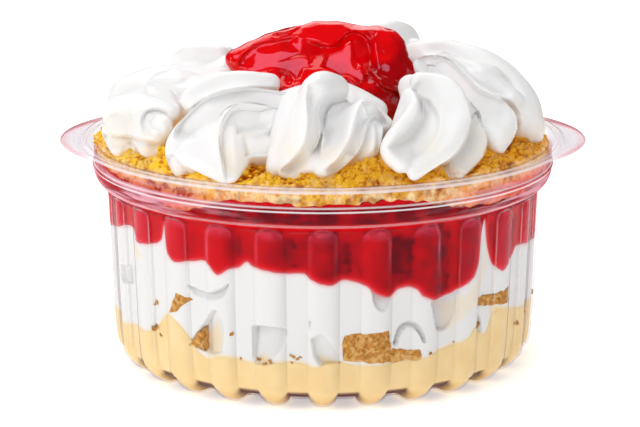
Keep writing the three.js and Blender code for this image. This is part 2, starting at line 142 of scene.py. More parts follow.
# Hollows in the cream at the wall, as (azimuth, height). The depth goes from `deep` to
# `shallow` between the two places. The front's are repeated at the back.
HOLLOWS = [
    {"outline": [(-18.8, 19.2), (-17.6, 20.4), (-9.9, 20.2), (-9.7, 17), (-11.8, 12.2),
                 (-13.5, 11.2), (-17.8, 11), (-18.8, 13)],
     "from": (-18.8, 20), "to": (-11, 13), "deep": 2.4, "shallow": 0.2},
    {"outline": [(-3.2, 17.8), (-2.6, 14.5), (-1.4, 12.4), (0.2, 11.3), (2.5, 11.5),
                 (4.4, 12.6), (4.4, 17), (2, 18.6), (-1, 19.2)],
     "from": (-3, 13.5), "to": (3.4, 17.5), "deep": 2.0, "shallow": 0.05},
    {"outline": [(-3.7, 21.8), (-3.1, 22.4), (-2.7, 20.6), (-3.3, 19.8)],
     "from": (-3.6, 21), "to": (-2.8, 21), "deep": 1.2, "shallow": 0.6},
    {"outline": [(18.6, 15.8), (19.4, 18.5), (20.6, 20.3), (22.8, 21), (25.2, 20.2),
                 (27, 17.8), (27.8, 15.4), (26.6, 15.6), (25.6, 17.4), (24.2, 18.8),
                 (22.8, 19.2), (21.2, 18.2), (20.2, 16), (19.6, 14.8)],
     "from": (23, 19.2), "to": (23, 21), "deep": 1.9, "shallow": 0.7},
    {"outline": [(12.1, 30), (12.8, 26), (14.1, 24.2), (15.7, 23.6), (17.2, 24.6),
                 (18.0, 26.5), (18.1, 30)],
     "from": (13, 28), "to": (18, 25), "deep": 2.1, "shallow": 0.3},
    {"outline": [(28.3, 29), (28.9, 24), (29.7, 21.5), (30.8, 18.2), (32.6, 17.2),
                 (35, 17.6), (37.4, 20.5), (39.4, 23.6), (40, 29)],
     "from": (29.5, 23), "to": (39, 22), "deep": 2.4, "shallow": 0.15},
    {"outline": [(-38, 13.3), (-31.7, 20.7), (-28.6, 23.2), (-26, 19.5), (-24, 16.4),
                 (-24.6, 14), (-28, 12.5), (-32.2, 12)],
     "from": (-34, 16), "to": (-25, 15), "deep": 2.0, "shallow": 0.1},
    {"outline": [(-38, 27.6), (-32, 26.6), (-28, 27.8), (-24.6, 29.6), (-26.6, 26),
                 (-31.5, 24.6), (-36, 25.2)],
     "from": (-32, 27.4), "to": (-32, 24.6), "deep": 1.6, "shallow": 0.2},
    {"outline": [(-70, 26.5), (-63, 27.6), (-60, 25), (-64, 22.6), (-69, 23)],
     "from": (-69, 25), "to": (-61, 25), "deep": 1.1, "shallow": 0.1},
    {"outline": [(44.6, 16.2), (46.2, 19.6), (48.4, 15.4), (46.4, 14.2)],
     "from": (44.8, 17), "to": (48.2, 16), "deep": 1.4, "shallow": 0.3},
]
HOLLOW_EDGE = 0.5
CRUMB_KINDS = 12
# Custard smeared up the wall: outline, strength and softness of the edge.
SMEARS = [
    ([(-38, 13), (-31, 19.5), (-28.6, 22), (-25.5, 17), (-27, 11), (-33, 10.5)], 0.6, 2.2),
    ([(-18, 10.5), (-17.8, 13.5), (-15, 14.6), (-12.5, 13), (-12.5, 10.5)], 0.7, 1.6),
    ([(50.0, 20.9), (62.4, 18.5), (63.4, 11.5), (52.0, 13.5)], 1.0, 1.2),
    ([(29, 26.5), (34, 24.5), (41, 26.6), (45.5, 31), (47.5, 38), (50, 31), (46, 22), (40, 19),
      (36, 16), (33, 17), (32, 22)], 0.34, 2.0),
    ([(-63, 34), (-58, 34.4), (-54, 31.5), (-57, 29.5), (-62, 31)], 0.45, 1.4),
    ([(-3, 13.4), (0, 11), (4.4, 11), (3.6, 13.2), (0.4, 14.5)], 0.5, 1.6),
]

SPONGE_TOP = 56.4
# Radius, height, and how much of the waves shows there.
SPONGE_RINGS = [(53.75, 52.4, 0), (51, 54.8, 0.6), (45, SPONGE_TOP, 1),
                (INNER_RADIUS, SPONGE_TOP, 0.6)]
RINGS_BETWEEN = 18  # two of these
CORE_RADIUS = 13  # under the jam, where the sponge is left plain
CORE_RINGS = 20  # from the last ring to the core
SPONGE_WAVES = [(0.9, 7, 0.7), (0.7, 11, 2.3), (0.4, 19, 0)]  # height, count, phase
GRAIN = {"lump": 6, "crumb": 3.1, "fibre": 1.9, "fine": 0.9}  # sizes in the sponge's relief
# Distances to the topping between which the relief sinks, so as not to cut through it.
SINK = {"from": 3, "to": 0.8, "search": 4}
ANCHOR_RADIUS = 34  # loose crumbs lie outside this

CRUMBS_PER_SPECK = 3
# Small brown crumbs at the wall: azimuth, height, size.
WALL_SPECKS = [
    (-22.4, 11.9, 0.45), (-7.9, 13.6, 0.6), (-6.6, 12.9, 0.4), (-8.2, 11.9, 0.35),
    (-5.8, 13.4, 0.35), (-50.4, 21.2, 0.7), (-51.0, 14.9, 1.1), (-49.2, 13.6, 0.5),
    (-16.8, 12.4, 0.5), (-15.0, 11.6, 0.6), (-13.8, 12.2, 0.4), (28.9, 12.8, 0.5),
    (37.1, 14.0, 0.3), (46.3, 16.2, 0.9), (72.0, 16.6, 1.2), (71.0, 14.6, 0.8),
    (66.3, 13.0, 0.7), (85.1, 16.4, 1.3), (4.4, 12.0, 0.4), (-24.5, 17.8, 0.5),
]

# ---- The topping ----
# As in the part's source, but for the front swirl's last two fins, which fill out its foot.
# A ball is (x, y, z, radius).
SWIRLS = {
    "front": {"core": (0, -30, 60, 10), "fins": [
        ((-5.5, -34, 60, 5.5), [(-10.5, -44, 55.5, 2.4), (-9.5, -41, 61, 2.8), (-7, -38, 69, 2.8)]),
        ((-5, -34, 60, 6), [(-8.5, -47, 55.5, 1.6), (-3, -48, 63, 2), (-3, -44, 70, 2.4),
                            (-1, -37, 72.5, 3.5), (2.5, -32, 71, 3.5)]),
        ((6, -32, 60, 6), [(0, -49, 56.5, 2.2), (6, -49, 61, 1.8), (7.5, -46, 66, 2),
                           (9.5, -40, 68, 2.6), (13, -33, 62.5, 3)]),
        ((9.5, -34, 57.5, 3.5), [(7, -44, 58, 2), (10.5, -45, 60, 1.8), (11.5, -42, 64, 2)]),
        ((1, -28, 61, 7), [(-9, -24, 66, 3), (2, -18.5, 68, 3), (12, -22, 64, 3)]),
        ((-2, -40, 58, 3), [(-7, -47.2, 55.6, 1.8), (-3, -47.6, 57.4, 2.0),
                            (1, -47.6, 56, 2.2)]),
        ((-2, -39, 60, 4), [(-3, -46.4, 58, 2), (-1.4, -45.2, 62, 2)]),
    ]},
    "front_left": {"core": (-22, -29, 60, 10), "fins": [
        ((-22.5, -34, 60, 7), [(-31.5, -41, 55, 2.4), (-33, -40, 58.5, 2.2), (-31.5, -38, 62, 2.2),
                               (-26.5, -36, 67, 2.2), (-20.5, -34, 70, 2.1), (-8, -33, 68.5, 2)]),
        ((-23, -37, 60.5, 6), [(-31, -43, 58, 2), (-26.5, -45, 56.5, 2), (-21.5, -48, 54.5, 1.8)]),
        ((-18, -40, 59, 3.6), [(-20, -49, 55, 1.6), (-21, -46, 65, 2), (-19, -43, 68, 2),
                               (-10.5, -38, 66.5, 1.8)]),
        ((-13.5, -38, 57, 3.5), [(-16, -43, 60, 2.4), (-11, -42, 60, 2.4)]),
        ((-20, -23, 63, 7), [(-30, -24, 67, 2.6), (-23, -20, 70.5, 2.4), (-12, -17, 69.5, 2.4)]),
    ]},
    "front_right": {"core": (27, -25, 60, 10), "fins": [
        ((19, -35, 60.5, 4.5), [(19.5, -33, 69.5, 2.2), (20.5, -38, 67.5, 2), (15, -46, 62, 2),
                                (14.5, -48, 59.5, 2), (17, -49, 57.5, 2)]),
        ((25, -31, 61.5, 7), [(22, -24, 71, 2.5), (28, -28, 71, 2.2), (31, -35, 68, 1.9),
                              (30.5, -40, 64, 1.8), (27.5, -45, 60, 1.8), (20, -50, 55.5, 1.5)]),
        ((29, -31, 57.5, 5), [(32.5, -27, 62.5, 2), (35.5, -30, 60, 1.8), (34.5, -34, 56.5, 1.8),
                              (29.5, -42, 54, 1.8)]),
        ((26, -22, 61, 7), [(20, -19, 69, 3), (24, -14, 66, 3), (33, -14, 62, 3)]),
    ]},
    "right": {"core": (35, 0, 60, 12), "fins": [
        ((37.5, 2, 59, 9), [(23.5, 18, 68.5, 5), (30, 16, 69, 5), (37, 12, 68, 5), (43, 7, 65, 5),
                            (46.5, 0, 61, 5), (47.5, -8, 57, 5)]),
        ((34.5, -8, 61, 7), [(22.5, -6, 71, 2.2), (27.5, -7, 72, 1.8), (36, -15, 67.5, 1.6),
                             (43, -24, 62.5, 1.6), (40, -29, 57, 1.8)]),
        ((33, 14, 59, 8), [(39, 20, 59, 4), (29, 27, 61, 4)]),
        ((35, 2, 60, 9), [(29, 2, 68.5, 5), (37, -2, 66, 5), (43, -6, 61.5, 5)]),
    ]},
    "left": {"core": (-35, 0, 59, 11), "fins": [
        ((-37.5, 2, 59, 9), [(-47, -2, 59.5, 4.5), (-46, 3, 62.5, 5), (-38, 9, 64, 5),
                             (-25, 10, 64, 4.5)]),
        ((-40, -8, 60, 7.5), [(-49, -12, 59.5, 2.4), (-48, -13, 63.5, 2.4), (-39, -19, 65, 2),
                              (-34.5, -22, 63.5, 2)]),
        ((-41, -12, 58, 6.5), [(-37, -26, 61, 3), (-39.5, -28, 56.5, 2.5)]),
        ((-41, -12, 58, 6.5), [(-48, -16, 58, 3.5), (-46, -20, 55.5, 3.4)]),
        ((-33, -4, 60, 8), [(-24.5, 0, 66, 3.4), (-25, -11, 64, 3.2)]),
    ]},
}
BACK_SWIRLS = {
    "back_left": ("front_right", 188, 0.9),
    "back": ("front_left", 232, 0.8),
    "back_right": ("front", 154, 1),
}
SWIRL_FOOT = 55
SMOOTHING = {"cream": 5, "jam": 8}
# The nozzle's grooves at the back of the swirls that aren't repeated there.
RIBS = {"on": ("left", "right"), "turns": 2.5, "rise": 4.5, "depth": 2.6}
CREST_STEPS = 5  # balls between two of a crest's named ones

JAM = {"core": (0, 0, 65, 15), "fins": [
    ((-2, -2, 65, 12), [(-20.3, -6, 72.8, 2.9), (-14.2, -5, 75, 3.7), (-5.4, -4, 76.2, 4.7),
                        (2.4, -2, 76.6, 5), (7, -2, 75.6, 5), (14.4, -2, 75, 5),
                        (15.4, -5, 71.5, 5), (15, -8, 67, 5.5), (12.5, -11, 63.5, 5.5)]),
    ((0, -2, 66, 13), [(-16, -2, 71, 4.5), (-13, -9, 65, 6.5), (1, -13, 65, 6),
                       (13, -11, 64, 6.5)]),
    ((0, 3, 66, 13), [(-13, 9, 66, 6.5), (0, 10, 71, 6.5), (13, 9, 66, 6.5)]),
    ((14, -5, 68, 4), [(19.4, -6, 72.6, 1.1), (20.6, -6.5, 70, 1.5), (20.2, -7, 67.5, 1.2)]),
]}

# Folds pressed into the topping, drawn as seen from the front: (across, up) in millimetres
# from the middle of the view. Walking along a line, its crest is on the left and the hollow
# on the right. Then the depth of the hollow and its width.
FOLDS = {
    "front_left": [
        ([(-35.7, 17.6), (-35.1, 20.4), (-32.7, 24.0), (-29.5, 27.0), (-25.5, 28.8),
          (-19.5, 30.0), (-13.5, 30.2), (-9.5, 29.4), (-7.1, 28.2)], 2.2, 4.5),
        ([(-23.0, 7.2), (-24.1, 12.0), (-24.8, 17.6), (-24.0, 22.0), (-22.1, 24.9), (-19.3, 26.3),
          (-15.5, 26.3), (-11.5, 25.3)], 2.4, 3.6),
        ([(-12.7, 20.6), (-15.9, 20.2), (-18.7, 19.6), (-21.0, 19.2)], 1.3, 2.4),
        ([(-10.3, 14.2), (-15.9, 14.0), (-18.9, 13.7)], 1.2, 3.0),
        ([(-17.3, 11.6), (-14.3, 11.4), (-11.1, 12.0)], 1.2, 1.5),
        ([(-36.2, 14.8), (-35.1, 13.2), (-31.5, 9.6), (-27.1, 7.8), (-23.9, 7.2)], 1.8, 3.0),
    ],
    "left": [
        ([(-40.6, 17.8), (-42.6, 18.6), (-43.6, 20.4), (-43.6, 22.8), (-42.4, 24.6),
          (-40.4, 25.2), (-38.2, 24.8), (-36.8, 23.6)], 1.6, 2.2),
        ([(-38.4, 19.6), (-40.6, 19.8), (-41.8, 21.2), (-41.3, 22.9), (-39.9, 23.6)], 1.2, 1.8),
        ([(-34.9, 25.4), (-37.4, 26.8), (-40.4, 28.0), (-43.3, 28.6)], 1.5, 2.0),
        ([(-52.7, 19.6), (-51.1, 19.0), (-46.7, 18.6), (-43.3, 17.6), (-38.1, 16.2)], 2.0, 2.4),
        ([(-46.0, 17.4), (-45.9, 14.8), (-46.2, 11.7)], 0.9, 1.6),
    ],
    "front": [
        ([(-10.8, 10.2), (-7.9, 12.1), (-5.0, 15.7), (-3.8, 18.6), (-3.5, 22.4), (-3.6, 27.2),
          (-3.4, 31.7)], 2.2, 3.0),
        ([(7.4, 27.1), (4.5, 26.4), (1.7, 25.2), (0.5, 22.0), (-0.3, 17.6),
          (-0.7, 13.8)], 1.7, 2.0),
        ([(0.2, 10.2), (3.1, 12.6), (5.2, 15.5), (7.0, 19.1), (8.1, 22.9), (9.3, 26.5)], 2.2, 2.8),
        ([(11.5, 22.6), (9.8, 20.5), (8.8, 16.2), (7.4, 13.3)], 1.2, 1.8),
        ([(12.2, 14.3), (12.8, 17.6), (12.4, 22.2)], 1.0, 1.2),
        ([(9.2, 26.6), (11.0, 27.2), (13.2, 25.5), (15.6, 20.9)], 1.5, 2.4),
    ],
    "front_right": [
        ([(15.2, 15.8), (18.5, 18.8), (21.8, 22.1), (23.1, 24.8), (22.7, 28.1),
          (20.9, 30.1)], 2.0, 3.0),
        ([(23.9, 28.7), (26.6, 25.7), (27.8, 22.4), (27.2, 18.5), (24.5, 14.6),
          (21.6, 12.5)], 1.4, 2.2),
        ([(22.7, 8.5), (26.9, 10.3), (31.7, 14.0), (34.6, 18.5), (35.5, 23.3), (35.0, 27.8),
          (32.9, 31.1)], 2.2, 3.0),
        ([(36.9, 9.8), (38.5, 13.4), (39.3, 17.6), (39.0, 20.3)], 1.0, 1.4),
        ([(30.6, 9.4), (32.9, 10.1), (36.0, 8.6)], 0.8, 1.4),
        ([(36.0, 22.4), (35.8, 23.8), (36.9, 24.7), (38.1, 23.8), (38.0, 22.4)], 1.4, 0.7),
    ],
    "right": [
        ([(21.8, 36.1), (24.5, 37.4), (28.7, 37.4), (31.7, 35.5), (34.7, 32.5), (37.7, 29.5),
          (41.3, 28.0), (44.9, 26.8), (46.7, 24.7), (47.2, 21.8), (46.5, 18.8),
          (44.4, 15.8)], 2.2, 4.2),
        ([(45.8, 27.5), (41.9, 28.9), (38.4, 30.4), (35.6, 33.2), (32.3, 36.2), (29.0, 38.2),
          (23.9, 38.0)], 1.2, 1.8),
        ([(44.6, 17.5), (45.0, 15.1), (46.8, 13.0), (49.7, 12.8)], 0.9, 1.4),
    ],
    "jam": [
        ([(-20.7, 35.2), (-19.7, 37.4), (-18.0, 39.1), (-14.9, 41.0), (-9.8, 41.8),
          (-5.6, 42.7)], 1.2, 2.2),
        ([(-12.2, 43.4), (-9.8, 43.2), (-7.4, 43.9), (-5.0, 45.3)], 0.8, 1.4),
        ([(-4.3, 42.0), (-1.5, 41.0), (1.2, 40.3), (3.3, 41.0), (5.7, 43.2), (8.1, 43.7),
          (10.1, 42.7), (11.5, 40.5), (11.8, 37.0), (11.8, 34.6)], 1.8, 2.6),
        ([(11.8, 34.6), (12.9, 32.2), (14.2, 30.5), (16.6, 29.4), (19.2, 29.1)], 1.4, 2.0),
        ([(12.5, 43.9), (12.2, 40.8), (12.7, 37.0), (12.9, 34.0)], 1.2, 1.8),
        ([(-10.4, 34.3), (-8.4, 33.6), (-7.4, 32.2), (-7.9, 30.5)], 1.2, 1.6),
        ([(5.7, 32.9), (8.4, 31.2), (9.4, 31.9), (10.3, 33.6)], 1.0, 2.0),
        ([(18.7, 29.2), (19.0, 27.8), (17.7, 25.7)], 1.0, 1.6),
    ],
}
# Flat gleaming faces of the jam, drawn in the same way, and where they face.
JAM_FACETS = [
    [(-13.5, 36.5), (-9.8, 37.0), (-6.3, 38.1), (-3.9, 38.1), (-2.7, 37.0), (-2.9, 36.0),
      (-1.9, 35.5), (-2.9, 34.6), (-4.4, 34.6), (-5.6, 32.2), (-6.7, 32.1), (-8.4, 33.6),
      (-11.8, 34.8)],
    [(-7.9, 30.9), (-6.0, 31.7), (-4.8, 31.0), (-5.1, 29.3), (-6.3, 29.2), (-7.7, 30.0)],
    [(-0.5, 35.0), (0.2, 37.0), (1.9, 38.6), (4.0, 39.4), (5.0, 41.0), (6.7, 42.1), (7.4, 40.8),
      (7.6, 38.4), (7.4, 36.0), (8.1, 35.0), (8.6, 36.4), (9.6, 35.5), (10.3, 31.9), (8.9, 30.9),
      (7.4, 32.2), (5.7, 33.1), (3.6, 32.9), (1.9, 34.0)],
]
FOLD_GAIN = {"cream": 1.4, "jam": 0.9}  # how much deeper than the table folds are pressed
FOLD_SPREAD = 2
FOLD_LIP = 0.3  # how far a fold's crest stands up, as a share of its depth
FOLD_LIP_WIDTH = 2.4
FOLD_STEPS = 3  # between two of a fold's points
FOLD_SOFTENING = 0.3
FACET_PUSH = 3  # the most that a facet moves the jam, in millimetres
FACET_EDGE = 0.7  # how wide a facet's soft edge is
CREASE = 1.0  # radians of turn past which an edge is sharp
FACET_NORMAL = Vector((-0.21, -0.86, 0.465)).normalized()

# ---- The view ----
CAMERA = {"target": (-0.00067, 0, 0.0344), "distance": 0.62, "elevation": 13.8,
          "lens": 145.3, "sensor": 36}
TILT = math.radians(CAMERA["elevation"])
VIEW = Vector((0, math.cos(TILT), -math.sin(TILT)))  # where the camera looks
LAMP_AIM = Vector((0, 0, 0.045))
# Place and size in metres, and what doesn't see the lamp. The gleam stands just in front of
# the key, because of two lamps in one place only the nearer one reflects.
LAMPS = {
    "key": ((-0.24, -0.5, 0.56), (0.5, 0.5), "visible_glossy"),
    "gleam": ((-0.235, -0.49, 0.55), (0.5, 0.5), "visible_diffuse"),
    "sheen": ((-0.1, 0.55, 0.46), (0.7, 0.4), "visible_diffuse"),
    "strip": ((-0.58, -0.22, 0.14), (0.02, 0.4), None),
    "fill": ((0.55, -0.2, 0.2), (0.02, 0.4), None),
    "top": ((-0.15, 0.42, 0.72), (0.8, 0.5), None),
}
FLOOR_SIZE = 4000


# ---- Small helpers ----
def polar(azimuth, radius, height):
    a = math.radians(azimuth)
    return Vector((radius * math.sin(a), -radius * math.cos(a), height))


def azimuth_of(place):
    return math.degrees(math.atan2(place.x, -place.y))


def mix(a, b, t):
    return a + (b - a) * t


def soft_step(low, high, x):
    t = min(1, max(0, (x - low) / (high - low)))
    return t * t * (3 - 2 * t)


def front_half(azimuth):
    """The azimuth of the front that the back repeats."""
    a = (azimuth + 180) % 360 - 180
    return 180 - a if a > 90 else -180 - a if a < -90 else a


def edge_height(pairs, azimuth):
    """Height of a layer's edge, on a smooth curve through its pairs."""
    a = front_half(azimuth)
    last = len(pairs) - 1
    after = min(last, max(1, bisect.bisect_left([p[0] for p in pairs], a)))
    p0, p1, p2, p3 = (pairs[min(last, max(0, after + k))][1] for k in (-2, -1, 0, 1))
    start, end = pairs[after - 1][0], pairs[after][0]
    return curve_between(p0, p1, p2, p3, min(1, max(0, (a - start) / (end - start))))


def curve_between(a, b, c, d, t):
    """A point of the Catmull-Rom curve from b to c."""
    return 0.5 * (2 * b + (c - a) * t + (2 * a - 5 * b + 4 * c - d) * t ** 2
                  + (3 * b - a - 3 * c + d) * t ** 3)


def smooth_line(points, steps):
    """Points on a Catmull-Rom curve through tuples of any length, `steps` to a span."""
    line = []
    for i in range(len(points) - 1):
        p0, p1, p2, p3 = (points[min(len(points) - 1, max(0, i + k))] for k in (-1, 0, 1, 2))
        line += [tuple(curve_between(*values, step / steps) for values in zip(p0, p1, p2, p3))
                 for step in range(steps)]
    return line + [tuple(points[-1])]


def offset_line(line, inset):
    """A profile of (radius, height) moved inwards along its normals."""
    moved = []
    for i, here in enumerate(line):
        before, after = Vector(line[max(0, i - 1)]), Vector(line[min(len(line) - 1, i + 1)])
        along = (after - before).normalized()
        moved.append(Vector(here) + Vector((-along.y, along.x)) * inset)
    return moved


def box_of(points):
    """The lower and the upper corner of the box round some points of a plane."""
    return [[side(point[k] for point in points) for k in (0, 1)] for side in (min, max)]


def in_box(place, box, room=0):
    (left, low), (right, high) = box
    return left - room < place.x < right + room and low - room < place.y < high + room


def offsets(place, line):
    """For each span of an open line: its direction, how far along it its nearest point to
    a place lies, and the way from there to the place."""
    for start, end in zip(line, line[1:]):
        along = end - start
        t = min(1, max(0, (place - start).dot(along) / along.length_squared))
        yield along, t, place - start - along * t


def wobble(place, size):
    """Soft noise from -1 to 1, with features of about `size`."""
    return noise.noise(place / size)


# ---- The fluted wall ----
class Skin:
    """The cup's fluted skin, moved inwards by an inset."""

    def __init__(self, inset):
        self.crest, self.strip = (
            offset_line([(radius, max(0, height)) for radius, height
                         in smooth_line(line, ROWS_PER_POINT)], inset)
            for line in (CREST, STRIP))
        self.heights = [[max(p.y for p in line[:i + 1]) for i in range(len(line))]
                        for line in (self.crest, self.strip)]
        self.count = len(self.crest)

    def share(self, azimuth, height):
        """How far a place lies towards the narrow strip, from 0 to 1."""
        across = abs((azimuth / PITCH + 0.5) % 1 - 0.5)
        up = max(0, (height - ARCH["from"]) / (ARCH["to"] - ARCH["from"]))
        half = WIDE_SHARE * math.sqrt(max(0.0, 1 - up ** 2))
        if half <= across:
            return 1
        return (1 - math.sqrt(1 - (ROUNDNESS * across / half) ** 2)) / FULL_ROUND

    def row(self, index):
        def place(azimuth):
            crest, strip = self.crest[index], self.strip[index]
            share = self.share(azimuth, crest.y)
            radius, height = crest.lerp(strip, share)
            return radius + snap_ring(height), height
        return place

    def radius(self, azimuth, height):
        """Radius at a height above the curved foot."""
        radii = []
        for line, heights in zip((self.crest, self.strip), self.heights):
            i = min(len(line) - 1, max(1, bisect.bisect_left(heights, height)))
            a, b = line[i - 1], line[i]
            t = min(1, max(0, (height - a.y) / max(1e-6, b.y - a.y)))
            radii.append(mix(a.x, b.x, t))
        return mix(radii[0], radii[1], self.share(azimuth, height)) + snap_ring(height)


def snap_ring(height):
    """The low ridge round the collar."""
    return SNAP_RING["out"] * math.exp(-((height - SNAP_RING["height"]) / SNAP_RING["half"]) ** 2)


# ---- Mesh helpers ----
def spun_body(rows, piece):
    """A closed body of rings round Z: a grid rolled up and merged at its seam and poles.
    A row gives (radius, height) at an azimuth. The first and last lie on the axis."""
    bm = bmesh.new()
    last = len(rows) - 1
    segments = FLUTES * STEPS_PER_FLUTE[piece]
    bmesh.ops.create_grid(bm, x_segments=segments, y_segments=last, size=0.5)
    seams = []
    for vert in bm.verts:
        step = round((vert.co.x + 0.5) * segments)
        row = round((vert.co.y + 0.5) * last)
        azimuth = (step / segments * 360 + 180) % 360 - 180
        radius, height = rows[row](azimuth)
        vert.co = polar(azimuth, radius, height)
        if step in (0, segments) or row in (0, last):
            seams.append(vert)
    bmesh.ops.remove_doubles(bm, verts=seams, dist=1e-4)
    bmesh.ops.recalc_face_normals(bm, faces=bm.faces)
    return bm


def shift(moves):
    for vert, move in moves:
        vert.co += move


def displaced(bm, depth):
    """Moves each vertex along its normal by what `depth` gives for its place."""
    bm.normal_update()
    shift([(vert, vert.normal * depth(vert.co)) for vert in bm.verts])


def seen(place):
    """Where a place shows from the front, as (across, up) in millimetres."""
    distance = CAMERA["distance"] / MM
    height = place.z - CAMERA["target"][2] / MM
    up = place.y * math.sin(TILT) + height * math.cos(TILT)
    away = distance + place.y * math.cos(TILT) - height * math.sin(TILT)
    return Vector((place.x, up)) * (distance / away)


def fold_depth(spot, line, depth, width):
    """How deep a fold is pressed at a spot of the view."""
    best, side, share = 1e9, 1, 0
    for i, (along, t, off) in enumerate(offsets(spot, line)):
        if off.length_squared < best:
            best = off.length_squared
            side = math.copysign(1, along.y * off.x - along.x * off.y)
            share = (i + t) / (len(line) - 1)
    away = side * math.sqrt(best)
    ends = soft_step(0, 0.14, share) * soft_step(1, 0.86, share)
    lip = -FOLD_LIP * max(0, 1 - abs(away) / FOLD_LIP_WIDTH) ** 2
    pressed = soft_step(1, 0.1, away / (width * FOLD_SPREAD))
    return depth * ends * mix(lip, pressed, soft_step(-0.3, 0.4, away))


def fold_in(bm, folds, gain):
    """Presses the folds into what faces the front."""
    lines = []
    for points, depth, width in folds:
        line = [Vector(point) for point in smooth_line(points, FOLD_STEPS)]
        lines.append((line, depth, width, box_of(line)))
    bm.normal_update()
    moves = []
    for vert in bm.verts:
        facing = min(1, max(0, -2.5 * vert.normal.dot(VIEW)))
        if not facing:
            continue
        spot = seen(vert.co)
        push = sum(fold_depth(spot, line, depth, width)
                   for line, depth, width, box in lines
                   if in_box(spot, box, width * FOLD_SPREAD))
        if push:
            moves.append((vert, VIEW * push * facing * gain))
    shift(moves)
    bmesh.ops.smooth_vert(bm, verts=[vert for vert, _ in moves], factor=FOLD_SOFTENING,
                          use_axis_x=True, use_axis_y=True, use_axis_z=True)


def crease(bm):
    """Marks the edges that turn a lot as sharp."""
    for edge in bm.edges:
        if edge.calc_face_angle(0) > CREASE:
            edge.smooth = False


def paint(bm, name, value):
    """A number for each vertex, as an attribute that a material reads."""
    layer = bm.verts.layers.float.new(name)
    for vert in bm.verts:
        vert[layer] = value(vert.co)


def as_mesh(bm, name):
    """A mesh of what was a bmesh."""
    mesh = bpy.data.meshes.new(name)
    bm.to_mesh(mesh)
    bm.free()
    return mesh


def in_scene(name, data):
    """A new object of the scene."""
    item = bpy.data.objects.new(name, data)
    bpy.context.scene.collection.objects.link(item)
    return item


def finished(bm, name, material, nodes=()):
    """The piece in metres, smooth shaded, riding on the dessert."""
    bmesh.ops.scale(bm, vec=(MM, MM, MM), verts=bm.verts)
    for face in bm.faces:
        face.smooth = True
    piece = in_scene(name, as_mesh(bm, name))
    piece.data.materials.append(material)
    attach(piece, BODY)
    for node in nodes:
        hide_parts(node)


def with_modifiers(bm, modifiers):
    """A mesh after modifiers, given as (type, settings), as a new bmesh."""
    mesh = as_mesh(bm, "raw")
    raw = in_scene("raw", mesh)
    for kind, settings in modifiers:
        modifier = raw.modifiers.new(kind, kind)
        for key, value in settings.items():
            setattr(modifier, key, value)
    bpy.context.view_layer.update()
    shaped = raw.evaluated_get(bpy.context.evaluated_depsgraph_get()).to_mesh()
    result = bmesh.new()
    result.from_mesh(shaped)
    bpy.data.objects.remove(raw)
    bpy.data.meshes.remove(mesh)
    return result


# ---- Material helpers ----
def linear(red, green, blue):
    """A colour read from a picture, 0 to 255, as linear red, green, blue and alpha."""
    def channel(value):
        value /= 255
        return value / 12.92 if value <= 0.04045 else ((value + 0.055) / 1.055) ** 2.4
    return channel(red), channel(green), channel(blue), 1.0


WET_AT_WALL = 0.06  # specular level of food pressed against the plastic
SEAM_SHADE = (0.3, 0.3, 0.31, 1)  # painted shade: what the colour is multiplied by along the flutes' edges and over their right sides
